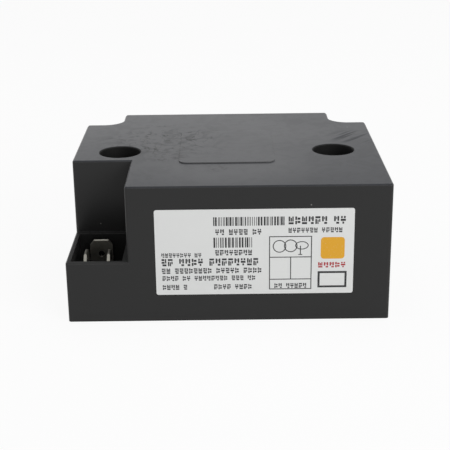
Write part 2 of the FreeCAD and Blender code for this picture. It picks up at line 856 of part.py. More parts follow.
def make_pin(doc, size, place, name, side):
    """A turned brass pin, its flange against the inner end of the socket."""
    body = new_body(doc, name, place.socket_x * side, place.socket_end, place.socket_z)
    flange = new_sketch(body, "flange_outline", "XZ_Plane", -size.pin_flange_thickness)
    circle(flange, 0, 0, size.pin_flange_diameter)
    pad(body, flange, size.pin_flange_thickness, "flange", backwards=True)
    root = new_sketch(body, "root_outline", "XZ_Plane")
    circle(root, 0, 0, size.pin_root_diameter)
    pad(body, root, size.socket_base, "root", backwards=True)
    shank = new_sketch(body, "shank_outline", "XZ_Plane", size.socket_base)
    circle(shank, 0, 0, size.pin_diameter)
    pad(body, shank, size.pin_exposed, "shank", backwards=True)
    tip_y = size.socket_base + size.pin_exposed

    def is_tip(box):
        return same(box.YMin, tip_y) and same(box.YMax, tip_y)

    chamfer(body, size.pin_tip_bevel, is_tip, "tip_bevel")
    tail = new_sketch(body, "tail_outline", "XZ_Plane", -size.pin_flange_thickness)
    circle(tail, 0, 0, size.pin_tail_diameter)
    pad(body, tail, size.pin_tail_length, "tail")
    return body


# Circuit board

def make_board(doc, size, place, mounted):
    """The board is drilled for every lead that passes through it."""
    blank = new_body(doc, "board_blank", 0, 0, size.board_height)
    outline = new_sketch(blank, "outline")
    rectangle(outline, place.wall_left + size.board_clearance,
              place.wall_right - size.board_clearance,
              place.wall_front + size.board_clearance, place.board_back)
    pad(blank, outline, size.board_thickness, "sheet")
    columns = new_sketch(blank, "column_holes")
    column_circles(columns, place, place.column_diameter + size.board_column_clearance * 2)
    pocket(blank, columns, size.board_thickness + OVERRUN, "column_hole_cut", along_normal=True)

    through = doc.addObject("Part::MultiFuse", "leads_through_board")
    through.Shapes = mounted
    board = doc.addObject("Part::Cut", "circuit_board")
    board.Label = "circuit_board"
    board.Base = blank
    board.Tool = through
    return board


def make_box_capacitor(doc, size, name, centre, extent):
    """A film capacitor in a moulded box: extent is its length along X, along Y and its height."""
    body = new_body(doc, name, *centre)
    along_x, along_y, height = extent
    outline = new_sketch(body, "outline")
    centred_rectangle(outline, 0, 0, along_x, along_y)
    pad(body, outline, height, "box")

    def is_upper_edge(box):
        return is_upright(box) or is_level_at(box, height)

    chamfer(body, size.moulding_bevel, is_upper_edge, "moulding_bevel")
    if float(along_x) > float(along_y):
        reach = along_x / 2 - size.film_lead_inset
        leads(body, size, [(-reach, 0), (reach, 0)])
    else:
        reach = along_y / 2 - size.film_lead_inset
        leads(body, size, [(0, -reach), (0, reach)])
    return body


def make_capacitors(doc, size, place):
    reservoir_length = (place.socket_x * 2 - place.socket_diameter
                        - size.reservoir_tube_gap * 2)
    reservoir_y = place.rear_row_back - size.reservoir_thickness / 2
    resonance_x = (place.wall_right - size.part_wall_gap
                   - size.resonance_capacitor_thickness / 2)
    resonance_y = (place.wall_front + size.part_wall_gap
                   + size.resonance_capacitor_length / 2)
    return [
        make_box_capacitor(
            doc, size, "suppression_capacitor",
            (place.suppressor_x, place.suppressor_y, place.board_top),
            (size.suppression_capacitor_length, size.suppression_capacitor_thickness,
             size.suppression_capacitor_height)),
        make_box_capacitor(
            doc, size, "reservoir_capacitor",
            (0, reservoir_y, place.board_top),
            (reservoir_length, size.reservoir_thickness, size.reservoir_height)),
        make_box_capacitor(
            doc, size, "resonance_capacitor",
            (resonance_x, resonance_y, place.board_top),
            (size.resonance_capacitor_thickness, size.resonance_capacitor_length,
             size.resonance_capacitor_height)),
    ]


def make_round_component(doc, size, name, centre, diameter, height, lead_places):
    """A component in an upright round can or moulding."""
    body = new_body(doc, name, *centre)
    outline = new_sketch(body, "outline")
    circle(outline, 0, 0, diameter)
    pad(body, outline, height, "can")

    def is_top_edge(box):
        return is_level_at(box, height)

    chamfer(body, size.moulding_bevel, is_top_edge, "top_bevel")
    leads(body, size, lead_places)
    return body


def make_fuse(doc, size, place):
    reach = size.two_lead_pitch / 2
    centre = (place.fuse_x, place.fuse_y, place.board_top)
    return make_round_component(doc, size, "fuse", centre, size.fuse_diameter,
                                size.fuse_length, [(0, -reach), (0, reach)])


def make_bridge(doc, size, place):
    reach = size.bridge_pitch / 2
    centre = (place.bridge_x, place.middle_y, place.board_top)
    corners = [(-reach, -reach), (reach, -reach), (reach, reach), (-reach, reach)]
    return make_round_component(doc, size, "bridge_rectifier", centre, size.bridge_diameter,
                                size.bridge_height, corners)


def make_varistor(doc, size, place):
    """A coated disc that stands on edge, its leads coming off the lower rim."""
    lift = size.axial_lift
    body = new_body(doc, "varistor", place.varistor_x, place.fuse_y, place.board_top)
    disc = new_sketch(body, "disc_outline", "YZ_Plane")
    circle(disc, 0, lift + size.varistor_diameter / 2, size.varistor_diameter)
    pad(body, disc, size.varistor_thickness, "disc", centred=True)
    wires = new_sketch(body, "lead_outline", "YZ_Plane")
    reach = size.two_lead_pitch / 2
    foot = -(size.board_thickness + size.lead_stub)
    for side in (-1, 1):
        centre = reach * side
        rectangle(wires, centre - size.lead_size / 2, centre + size.lead_size / 2,
                  foot, lift + size.varistor_diameter / 2)
    pad(body, wires, size.lead_size, "leads", centred=True)
    return body


def make_choke(doc, size, place):
    """A ferrite drum with pins in its foot, and the coil wound on its neck."""
    centre = (place.choke_x, place.middle_y, place.board_top)
    core = new_body(doc, "choke_core", *centre)
    foot = new_sketch(core, "foot_outline")
    circle(foot, 0, 0, size.choke_diameter)
    pad(core, foot, size.choke_flange, "foot")
    neck = new_sketch(core, "neck_outline")
    circle(neck, 0, 0, size.choke_neck_diameter)
    pad(core, neck, size.choke_height, "neck")
    head = new_sketch(core, "head_outline", at=size.choke_height - size.choke_flange)
    circle(head, 0, 0, size.choke_diameter)
    pad(core, head, size.choke_flange, "head")
    reach = size.two_lead_pitch / 2
    leads(core, size, [(-reach, 0), (reach, 0)])

    winding = new_body(doc, "choke_winding", *centre)
    ring = new_sketch(winding, "winding_section", at=size.choke_flange)
    circle(ring, 0, 0, size.choke_diameter - size.choke_winding_inset * 2)
    circle(ring, 0, 0, size.choke_neck_diameter)
    pad(winding, ring, size.choke_height - size.choke_flange * 2, "turns")
    return [core, winding]


def make_axial(doc, size, place, name, x, diameter, length, pitch):
    """A component that lies on the board, its wires bent down at both ends."""
    body = new_body(doc, name, x, place.axial_y, place.board_top)
    height = size.axial_lift + diameter / 2
    barrel = new_sketch(body, "barrel_outline", "YZ_Plane")
    circle(barrel, 0, height, diameter)
    pad(body, barrel, length, "barrel", centred=True)
    wire = new_sketch(body, "wire_outline", "XZ_Plane")
    half = size.lead_size / 2
    outer = pitch / 2 + half
    inner = pitch / 2 - half
    foot = -(size.board_thickness + size.lead_stub)
    polygon(wire, [
        (-outer, foot),
        (-inner, foot),
        (-inner, height - half),
        (inner, height - half),
        (inner, foot),
        (outer, foot),
        (outer, height + half),
        (-outer, height + half),
    ])
    pad(body, wire, size.lead_size, "wire", centred=True)
    return body


def make_axials(doc, size, place):
    start_x = -((size.resistor_pitch + size.diode_pitch) / 2 + size.part_gap * 2)
    sense_x = start_x + size.resistor_pitch + size.part_gap * 2
    diode_x = sense_x + (size.resistor_pitch + size.diode_pitch) / 2 + size.part_gap * 2
    return [
        make_axial(doc, size, place, "start_resistor", start_x,
                   size.resistor_diameter, size.resistor_length, size.resistor_pitch),
        make_axial(doc, size, place, "sense_resistor", sense_x,
                   size.resistor_diameter, size.resistor_length, size.resistor_pitch),
        make_axial(doc, size, place, "recovery_diode", diode_x,
                   size.diode_diameter, size.diode_length, size.diode_pitch),
    ]


def make_driver(doc, size, place):
    """A small transistor: a round moulding with one flat side."""
    body = new_body(doc, "driver_transistor", place.driver_x, place.middle_y, place.board_top)
    outline = new_sketch(body, "outline")
    circle(outline, 0, 0, size.driver_diameter)
    pad(body, outline, size.driver_height, "moulding")
    flat = new_sketch(body, "flat_side")
    radius = size.driver_diameter / 2
    rectangle(flat, -radius - OVERRUN, radius + OVERRUN, -radius - OVERRUN,
              -radius + size.driver_flat_depth)
    pocket(body, flat, size.driver_height, "flat_side_cut", along_normal=True)
    step = size.driver_lead_pitch
    leads(body, size, [(-step, 0), (Size(0, "0"), 0), (step, 0)])
    return body


# Power transistor and heat sink

def make_power_transistor(doc, size, place):
    """A flat-backed moulding on a drilled tab that is screwed to the heat sink."""
    body = new_body(doc, "power_transistor", place.sink_x, place.transistor_y, place.board_top)
    half = size.transistor_width / 2
    low = size.transistor_lift
    plate = new_sketch(body, "tab_outline", "XZ_Plane")
    rectangle(plate, -half, half, low, low + size.transistor_tab_height)
    pad(body, plate, size.transistor_tab_thickness, "mounting_tab")
    block = new_sketch(body, "moulding_outline", "XZ_Plane")
    rectangle(block, -half, half, low, low + size.transistor_body_height)
    pad(body, block, size.transistor_thickness, "moulding")
    hole = new_sketch(body, "screw_hole", "XZ_Plane")
    circle(hole, 0, place.clamp_z, size.transistor_hole_diameter)
    pocket(body, hole, size.transistor_tab_thickness * 2, "screw_hole_cut", centred=True)
    legs = new_sketch(body, "leg_outline", "XZ_Plane", -size.transistor_thickness / 2)
    foot = -(size.board_thickness + size.lead_stub)
    for step in (-1, 0, 1):
        centre = size.transistor_leg_pitch * step
        rectangle(legs, centre - size.lead_size / 2, centre + size.lead_size / 2,
                  foot, low + EMBED)
    pad(body, legs, size.lead_size, "legs", centred=True)
    return body


def make_heat_sink(doc, size, place):
    """An extruded channel that stands on the board with its fins to the back."""
    body = new_body(doc, "heat_sink", place.sink_x, place.sink_y, place.board_top)
    outer = (place.sink_right - place.sink_left) / 2
    inner = outer - size.heat_sink_wall
    section = new_sketch(body, "channel_section")
    polygon(section, [
        (-outer, 0),
        (outer, 0),
        (outer, size.heat_sink_depth),
        (inner, size.heat_sink_depth),
        (inner, size.heat_sink_wall),
        (-inner, size.heat_sink_wall),
        (-inner, size.heat_sink_depth),
        (-outer, size.heat_sink_depth),
    ])
    pad(body, section, size.heat_sink_height, "channel")
    hole = new_sketch(body, "screw_hole", "XZ_Plane")
    circle(hole, 0, place.clamp_z, size.screw_diameter)
    pocket(body, hole, size.heat_sink_wall * 3, "screw_hole_cut", centred=True)
    middle = (outer + inner) / 2
    leads(body, size, [(-middle, size.heat_sink_depth / 2), (middle, size.heat_sink_depth / 2)])
    return body


def make_clamp(doc, size, place):
    """A screw and nut clamp the transistor, which a pad and a bush insulate from the sink."""
    height = place.board_top + place.clamp_z
    tab_face_y = place.transistor_y - size.transistor_tab_thickness
    bush = new_body(doc, "insulating_bush", place.sink_x, tab_face_y, height)
    collar = new_sketch(bush, "collar_outline", "XZ_Plane")
    circle(collar, 0, 0, size.screw_head_diameter)
    circle(collar, 0, 0, size.screw_diameter)
    pad(bush, collar, size.bush_collar_thickness, "collar")
    sleeve = new_sketch(bush, "sleeve_outline", "XZ_Plane")
    circle(sleeve, 0, 0, size.transistor_hole_diameter)
    circle(sleeve, 0, 0, size.screw_diameter)
    pad(bush, sleeve, size.transistor_tab_thickness, "sleeve", backwards=True)

    margin = size.insulating_pad_margin
    half = size.transistor_width / 2 + margin
    low = size.transistor_lift - margin
    high = size.transistor_lift + size.transistor_tab_height + margin
    sheet = new_body(doc, "insulating_pad", place.sink_x, place.sink_y, place.board_top)
    outline = new_sketch(sheet, "outline", "XZ_Plane")
    rectangle(outline, -half, half, low, high)
    circle(outline, 0, place.clamp_z, size.screw_diameter)
    pad(sheet, outline, size.insulating_pad_thickness, "sheet")

    head_y = tab_face_y - size.bush_collar_thickness
    screw = new_body(doc, "transistor_screw", place.sink_x, head_y, height)
    head = new_sketch(screw, "head_outline", "XZ_Plane")
    circle(head, 0, 0, size.screw_head_diameter)
    pad(screw, head, size.screw_head_height, "head")
    shank = new_sketch(screw, "shank_outline", "XZ_Plane")
    circle(shank, 0, 0, size.screw_diameter)
    shank_length = (place.sink_y - head_y + size.heat_sink_wall + size.nut_height
                    + size.screw_point)
    pad(screw, shank, shank_length, "shank", backwards=True)

    nut_y = place.sink_y + size.heat_sink_wall
    nut = new_body(doc, "transistor_nut", place.sink_x, nut_y, height)
    hexagon = new_sketch(nut, "hexagon_outline", "XZ_Plane")
    radius = size.nut_width / math.sqrt(3)
    angles = [math.radians(60 * step) for step in range(6)]
    polygon(hexagon, [(radius * math.cos(angle), radius * math.sin(angle)) for angle in angles])
    circle(hexagon, 0, 0, size.screw_diameter)
    pad(nut, hexagon, size.nut_height, "hexagon", backwards=True)
    return [bush, sheet, screw, nut]


# High-voltage transformer

def square(sketch, width, radius=None):
    centred_rectangle(sketch, 0, 0, width, width, radius)


def make_core_half(doc, size, place, name, side):
    """A yoke with a leg for the coils and a return leg above them."""
    body = new_body(doc, name, place.coil_x, place.coil_y, place.coil_z)
    outer = place.core_length / 2 * side
    yoke = (place.core_length / 2 - size.core_yoke_thickness) * side
    parting = size.core_gap / 2 * side
    half = size.core_leg_width / 2
    high = place.return_low + size.core_return_thickness
    profile = new_sketch(body, "half_outline", "XZ_Plane")
    polygon(profile, [
        (outer, -half),
        (outer, high),
        (parting, high),
        (parting, place.return_low),
        (yoke, place.return_low),
        (yoke, half),
        (parting, half),
        (parting, -half),
    ])
    pad(body, profile, size.core_leg_width, "legs_and_yoke", centred=True)

    def is_outer_edge(box):
        across = same(box.YLength, size.core_leg_width)
        return across and same(box.XMin, outer)

    fillet(body, size.core_edge_radius, is_outer_edge, "yoke_rounding")
    return body


def make_core_spacers(doc, size, place):
    """Insulating pads that keep the gap between the two halves of the core."""
    centre = (place.coil_x, place.coil_y, place.coil_z)
    half = size.core_leg_width / 2
    spacers = []
    for name, low, high in (
            ("core_spacer_lower", -half, half),
            ("core_spacer_upper", place.return_low, place.return_low + size.core_return_thickness)):
        body = new_body(doc, name, *centre)
        outline = new_sketch(body, "outline", "YZ_Plane")
        rectangle(outline, -half, half, low, high)
        pad(body, outline, size.core_gap, "pad", centred=True)
        spacers.append(body)
    return spacers


def make_primary_bobbin(doc, size, place):
    """A thin tube on the core's leg between two end plates that stand on the board."""
    body = new_body(doc, "primary_bobbin", place.coil_x, place.coil_y, place.coil_z)
    tube = new_sketch(body, "tube_section", "YZ_Plane")
    square(tube, place.former_width)
    pad(body, tube, place.former_length, "tube", centred=True)
    half = size.former_end_width / 2
    foot = place.board_top - place.coil_z
    for side in (-1, 1):
        face = (place.former_length / 2 - size.former_end_thickness) * side
        plate = new_sketch(body, "end_plate_outline", "YZ_Plane", face)
        rectangle(plate, -half, half, foot, half)
        pad(body, plate, size.former_end_thickness, "end_plate", backwards=side < 0)
    bore = new_sketch(body, "bore", "YZ_Plane")
    square(bore, place.former_bore)
    pocket(body, bore, place.former_length + OVERRUN, "bore_cut", centred=True)
    return body


def make_low_voltage_winding(doc, size, place, name, left, right, exit_x):
    """Turns on the primary bobbin, their two ends led down through the board."""
    body = new_body(doc, name, place.coil_x, place.coil_y, place.coil_z)
    foot = size.board_height - size.lead_stub - place.coil_z
    ends = new_sketch(body, "wire_ends", "XY_Plane", foot)
    for side in (-1, 1):
        centred_rectangle(ends, exit_x, size.wire_spread / 2 * side,
                          size.lead_size, size.lead_size)
    pad(body, ends, -foot - place.former_width / 2, "wires")
    turns = new_sketch(body, "turns_section", "YZ_Plane", left)
    square(turns, place.primary_width, size.primary_corner_radius)
    square(turns, place.former_width)
    pad(body, turns, right - left, "turns")
    return body


def make_low_voltage_windings(doc, size, place):
    end = place.winding_zone / 2
    exit_x = end - size.wire_exit / 2
    split = end - size.feedback_width
    return [
        make_low_voltage_winding(doc, size, place, "primary_winding",
                                 -end, split - size.winding_gap, -exit_x),
        make_low_voltage_winding(doc, size, place, "feedback_winding", split, end, exit_x),
    ]


def repeat_along_x(body, feature, length, count, name):
    pattern = body.newObject("PartDesign::LinearPattern", name)
    pattern.Originals = [feature]
    pattern.Direction = (origin_feature(body, "X_Axis"), [""])
    bind(pattern, "Length", length)
    bind(pattern, "Occurrences", count)
    body.Tip = pattern
    return pattern


def crossover_outline(sketch, size, inner, outer):
    """The notch in a flange where the wire steps over from one chamber to the next."""
    half = size.crossover_width / 2
    rectangle(sketch, -half, half, -outer, -inner)


def make_secondary_bobbin(doc, size, place):
    """A tube with a row of thin flanges; the wire crosses each inner one through a notch."""
    body = new_body(doc, "secondary_bobbin", place.coil_x, place.coil_y, place.coil_z)
    tube = new_sketch(body, "tube_section", "YZ_Plane")
    square(tube, place.chamber_core_width)
    pad(body, tube, place.chamber_length, "tube", centred=True)
    first = new_sketch(body, "flange_outline", "YZ_Plane", -place.chamber_length / 2)
    square(first, size.chamber_flange_width)
    flange = pad(body, first, size.chamber_flange_thickness, "flange")
    repeat_along_x(body, flange, place.chamber_length - size.chamber_flange_thickness,
                   size.chamber_count + 1, "flanges")
    bore = new_sketch(body, "bore", "YZ_Plane")
    square(bore, place.chamber_bore)
    pocket(body, bore, place.chamber_length + OVERRUN, "bore_cut", centred=True)
    for side in (-1, 1):
        inner_end = place.chamber_pitch / 2 * side
        notch = new_sketch(body, "crossover_notch", "YZ_Plane", inner_end)
        crossover_outline(notch, size, place.chamber_core_width / 2,
                          size.chamber_flange_width / 2 + OVERRUN)
        length = place.end_chamber - place.chamber_pitch / 2
        pocket(body, notch, length, "crossover_cut", along_normal=side > 0)
    return body


def make_secondary_winding(doc, size, place, name, side):
    """Half of the high-voltage winding: a ring in each chamber, joined by the crossovers."""
    body = new_body(doc, name, place.coil_x, place.coil_y, place.coil_z)
    crossing = new_sketch(body, "crossover_section", "YZ_Plane", place.chamber_pitch / 2 * side)
    crossover_outline(crossing, size, place.chamber_core_width / 2,
                      place.winding_width / 2 - size.winding_build / 3)
    length = place.end_chamber - place.chamber_pitch / 2
    pad(body, crossing, length, "crossover", backwards=side < 0)
    chamber = place.chamber_pitch - size.chamber_flange_thickness
    start = size.chamber_flange_thickness / 2
    if side < 0:
        start = -place.end_chamber - chamber / 2
    section = new_sketch(body, "ring_section", "YZ_Plane", start)
    square(section, place.winding_width, size.winding_corner_radius)
    square(section, place.chamber_core_width)
    ring = pad(body, section, chamber, "ring")
    span = place.chamber_pitch * (size.chamber_count / 2 - 1)
    repeat_along_x(body, ring, span, size.chamber_count / 2, "rings")

    inside = place.winding_width / 2 - EMBED
    rise = size.chamber_flange_width / 2 - inside
    outer_end = new_sketch(body, "outer_wire_end", "XZ_Plane", inside)
    circle(outer_end, place.end_chamber * side, 0, size.winding_end_diameter)
    pad(body, outer_end, rise, "outer_end", backwards=True)
    if side < 0:
        inner_end = new_sketch(body, "inner_wire_end", "XY_Plane", -inside)
        centred_rectangle(inner_end, place.chamber_pitch / 2 * side, 0,
                          size.lead_size, size.lead_size)
        pad(body, inner_end, rise, "inner_end", backwards=True)
    return body


def make_high_voltage_lead(doc, size, place, name, side):
    """An insulated wire from the outer chamber, led across to the tail of its pin."""
    start_x = place.coil_x + place.end_chamber * side
    shift = place.socket_x * side - start_x
    end_y = place.socket_end - size.pin_flange_thickness - size.pin_tail_length
    length = end_y - place.coil_back
    body = new_body(doc, name, start_x, place.coil_back, place.coil_z)
    points = [(as_size(0), as_size(0)), (as_size(0), length / 3),
              (shift, length * 2 / 3), (shift, length)]
    path = new_sketch(body, "path")
    for index in range(3):
        ends = [Vector(float(x), float(y), 0) for x, y in points[index:index + 2]]
        path.addGeometry(Part.LineSegment(*ends), False)
    for index in range(3):
        locate(path, index, 1, *points[index])
        if index < 2:
            constrain(path, "Coincident", index, 2, index + 1, 1)
    locate(path, 2, 2, *points[3])

    section = new_sketch(body, "section", "XZ_Plane")
    circle(section, 0, 0, size.lead_diameter)
    wire = body.newObject("PartDesign::AdditivePipe", "wire")
    wire.Profile = section
    wire.Spine = (path, [])
    wire.Transition = "Right corner"
    return body


def make_centre_tap(doc, size, place):
    """The inner end of the high-voltage winding, brought down to the board."""
    x = place.coil_x - place.chamber_pitch / 2
    body = new_body(doc, "centre_tap_lead", x, place.coil_y, size.board_height)
    outline = new_sketch(body, "outline", at=-size.lead_stub)
    centred_rectangle(outline, 0, 0, size.lead_size, size.lead_size)
    length = (place.coil_z - size.chamber_flange_width / 2 - size.board_height
              + size.lead_stub)
    pad(body, outline, length, "wire")
    return body


# The whole transformer

def check_document(doc):
    """Stop if any object failed to build, because a failed one would go unnoticed."""
    for item in doc.Objects:
        if "Invalid" in item.State or "Error" in item.State:
            raise RuntimeError(f"{item.Label} failed: {item.State}")


def write_parts(parts):
    os.makedirs("parts", exist_ok=True)
    for part in parts:
        if part.Shape.isNull() or not part.Shape.isValid():
            raise RuntimeError(f"{part.Label} is not a valid shape")
        if len(part.Shape.Solids) != 1:
            raise RuntimeError(f"{part.Label} is {len(part.Shape.Solids)} solids")
    for part in parts:
        part.Shape.exportStep(os.path.join("parts", f"{part.Label}.step"))
        print(f"{part.Label}: {part.Shape.Volume:.1f} mm3")


def main():
    doc = FreeCAD.newDocument("ignition_transformer")
    size = fill_sheet(doc)
    place = add_places(size)

    housing = make_housing(doc, size, place)
    label = make_label(doc, size, place)
    tabs = make_tabs(doc, size, place)
    pins = [
        make_pin(doc, size, place, "high_voltage_pin_left", -1),
        make_pin(doc, size, place, "high_voltage_pin_right", 1),
    ]
    choke_core, choke_winding = make_choke(doc, size, place)
    soldered = tabs + make_capacitors(doc, size, place) + make_axials(doc, size, place)
    soldered += [
        make_fuse(doc, size, place),
        make_varistor(doc, size, place),
        choke_core,
        make_bridge(doc, size, place),
        make_driver(doc, size, place),
        make_power_transistor(doc, size, place),
        make_heat_sink(doc, size, place),
    ]
    soldered += make_low_voltage_windings(doc, size, place)
    soldered.append(make_centre_tap(doc, size, place))
    clamp = make_clamp(doc, size, place)
    coil = [
        make_core_half(doc, size, place, "core_half_left", -1),
        make_core_half(doc, size, place, "core_half_right", 1),
        make_primary_bobbin(doc, size, place),
        make_secondary_bobbin(doc, size, place),
        make_secondary_winding(doc, size, place, "secondary_winding_left", -1),
        make_secondary_winding(doc, size, place, "secondary_winding_right", 1),
        make_high_voltage_lead(doc, size, place, "high_voltage_lead_left", -1),
        make_high_voltage_lead(doc, size, place, "high_voltage_lead_right", 1),
    ]
    coil += make_core_spacers(doc, size, place)
    board = make_board(doc, size, place, soldered)
    embedded = soldered + [choke_winding] + clamp + coil + [board] + pins
    resin = make_resin(doc, size, place, embedded)

    doc.recompute()
    check_document(doc)
    write_parts([housing, resin, label] + embedded)


main()
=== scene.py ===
import json
import math
import random

import bmesh
import bpy
from mathutils import Matrix, Vector


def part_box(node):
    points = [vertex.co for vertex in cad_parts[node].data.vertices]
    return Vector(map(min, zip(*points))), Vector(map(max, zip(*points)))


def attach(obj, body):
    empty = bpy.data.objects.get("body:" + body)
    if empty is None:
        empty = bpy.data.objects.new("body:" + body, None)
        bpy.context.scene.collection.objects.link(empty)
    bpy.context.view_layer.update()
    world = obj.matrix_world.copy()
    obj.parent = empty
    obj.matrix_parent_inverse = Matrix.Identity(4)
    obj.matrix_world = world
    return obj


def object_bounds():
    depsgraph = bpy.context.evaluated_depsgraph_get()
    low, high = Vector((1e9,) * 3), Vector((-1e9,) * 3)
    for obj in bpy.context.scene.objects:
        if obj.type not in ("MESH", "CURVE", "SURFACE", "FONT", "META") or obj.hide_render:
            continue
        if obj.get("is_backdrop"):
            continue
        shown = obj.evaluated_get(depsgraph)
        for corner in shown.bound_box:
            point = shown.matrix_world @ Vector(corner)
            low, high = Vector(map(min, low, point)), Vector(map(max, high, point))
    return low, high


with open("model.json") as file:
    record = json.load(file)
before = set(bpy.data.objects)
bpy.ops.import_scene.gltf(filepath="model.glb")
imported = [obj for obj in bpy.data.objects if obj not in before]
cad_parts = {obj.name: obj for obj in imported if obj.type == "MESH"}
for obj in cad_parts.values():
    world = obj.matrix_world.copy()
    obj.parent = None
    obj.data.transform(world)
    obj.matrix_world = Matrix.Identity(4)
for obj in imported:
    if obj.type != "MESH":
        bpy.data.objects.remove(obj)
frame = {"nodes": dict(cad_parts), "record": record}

bl_info = {
    "name": "Ignition transformer looks",
    "version": (1, 0, 0),
    "blender": (4, 5, 0),
    "location": "3D View > Sidebar > Transformer",
    "description": "Finishes the ignition transformer: materials, label print, studio and camera",
    "category": "Object",
}

# Metres, as in the frame. X runs along the label face, Y towards the sockets, Z up.
MM = 0.001

# Places on the case in millimetres: heights, the middles of the two screw wells, the height
# from which spots on the top are measured, and single specks of dust
CASE_TOP = 37.4
TERMINAL_RIM = 16.75
SCREW_WELLS = ((-30, -5), (30, -5))
SCREW_WELL_RADIUS = 5.7
SPOT_HEIGHT = 37
SPECKS = ((36.5, 19.1, 37.4), (21.5, -37.2, 32.1), (-35.5, -13.4, 19.1))

# The floor: its reach each way and its gap below the object in metres, and the share of what
# shows of it that is plain white. The rest is lit paper, which keeps the object's shadow.
FLOOR_REACH = 4.0
FLOOR_GAP = 0.05 * MM
FLOOR_WHITE = 0.92


def linear(code):
    """A written sRGB colour as the linear RGBA that a shader takes."""
    channels = [int(code[i:i + 2], 16) / 255 for i in (1, 3, 5)]
    return [c / 12.92 if c <= 0.04045 else ((c + 0.055) / 1.055) ** 2.4 for c in channels] + [1.0]


def colour_setting(name, description, code):
    """A colour that the user can change, with its default as an sRGB code."""
    return bpy.props.FloatVectorProperty(
        name=name, description=description, size=4, subtype="COLOR", min=0, max=1,
        default=linear(code))


# Settings

class CaseSettings(bpy.types.PropertyGroup):
    """What the moulded case looks like."""

    colour: colour_setting("Case colour", "Colour of the moulded plastic", "#282828")
    edge_softness: bpy.props.FloatProperty(
        name="Edge softness", description="Radius that the light sees on the case's edges",
        default=0.15 * MM, unit="LENGTH")
    mark_size: bpy.props.FloatProperty(
        name="Flow mark size", description="Width of the cloudy marks that the melt left on top",
        default=7 * MM, unit="LENGTH")


class LabelSettings(bpy.types.PropertyGroup):
    """The film of the rating label, and the generic print on it."""

    film: colour_setting("Film colour", "Colour of the bare label", "#dfe0df")
    black: colour_setting("Black ink", "Colour of the rows, stripes and table", "#1f1f22")
    amber: colour_setting("Amber ink", "Colour of the plain field", "#dca11f")
    red: colour_setting("Red ink", "Colour of the row below the plain field", "#a30d1a")
    ink_height: bpy.props.FloatProperty(
        name="Ink height", description="How far the ink stands on the film",
        default=0.012 * MM, unit="LENGTH")
    stroke: bpy.props.FloatProperty(
        name="Stroke", description="Width of the ruled lines", default=0.24 * MM, unit="LENGTH")
    seed: bpy.props.IntProperty(
        name="Seed", description="Picks the rhythm of the bars and stripes", default=7)


class StudioSettings(bpy.types.PropertyGroup):
    """The light, and the camera that took the photograph."""

    camera_place: bpy.props.FloatVectorProperty(
        name="Camera place", description="Where the lens stands",
        default=(-0.28 * MM, -304.58 * MM, 124.10 * MM), subtype="XYZ", unit="LENGTH")
    camera_turn: bpy.props.FloatVectorProperty(
        name="Camera turn", description="Tilt, roll and heading of the camera",
        default=(math.radians(-19.987), math.radians(0.705), math.radians(0.083)),
        subtype="EULER", unit="ROTATION")
    lens: bpy.props.FloatProperty(
        name="Lens", description="Focal length for the sensor below, in millimetres",
        default=88.38)
    sensor: bpy.props.FloatProperty(
        name="Sensor", description="Width of the sensor, in millimetres", default=36.0)
    ambient: bpy.props.FloatProperty(
        name="Ambient", description="Brightness of the room round the object", default=0.40)
    top_light: bpy.props.FloatProperty(
        name="Top light", description="Power of the soft box overhead", default=1.2,
        unit="POWER")
    front_light: bpy.props.FloatProperty(
        name="Front light", description="Power of the soft box at the front right", default=3.7,
        unit="POWER")


# Nodes

# A Mix node's sockets for two colours and their mix, by number because names repeat there
FIRST, SECOND, MIXED = 6, 7, 2
WHITE = (1, 1, 1, 1)


def feed(tree, node, inputs):
    """Link each input that is given a socket, and set any other."""
    for key, value in inputs.items():
        if isinstance(value, bpy.types.NodeSocket):
            tree.links.new(value, node.inputs[key])
        else:
            node.inputs[key].default_value = value


def add_node(tree, kind, inputs=None, output=0, **settings):
    """Add a shader node with its settings and links, and give one of its outputs."""
    made = tree.nodes.new(f"ShaderNode{kind}")
    for name, value in settings.items():
        setattr(made, name, value)
    feed(tree, made, inputs or {})
    return made.outputs[output]


def new_material(name):
    """A node material, its tree, and the shader that a finish feeds."""
    material = bpy.data.materials.new(name)
    material.use_nodes = True
    return material, material.node_tree, material.node_tree.nodes["Principled BSDF"]


def place_in_mm(tree, stretch=(1, 1, 1)):
    """The point on the object in millimetres, so that pattern sizes are real ones. A pattern is
    finer along an axis whose stretch is above 1."""
    place = add_node(tree, "TexCoord", output="Object")
    return add_node(tree, "Mapping", {"Vector": place, "Scale": [axis / MM for axis in stretch]})


def near(tree, place, spot, inner, outer):
    """A soft round mask: 1 within inner millimetres of a spot, 0 beyond outer."""
    reach = add_node(tree, "VectorMath", {0: place, 1: spot}, "Value", operation="DISTANCE")
    return add_node(tree, "MapRange", {
        "Value": reach, "From Min": inner, "From Max": outer, "To Min": 1.0, "To Max": 0.0},
        interpolation_type="SMOOTHSTEP")


def apart(tree, value, middle):
    """How far a value lies from a middle one, either way."""
    gap = add_node(tree, "Math", {0: value, 1: middle}, operation="SUBTRACT")
    return add_node(tree, "Math", {0: gap}, operation="ABSOLUTE")


# Materials, one function each. The first line says what the real one is and what it gives the eye.

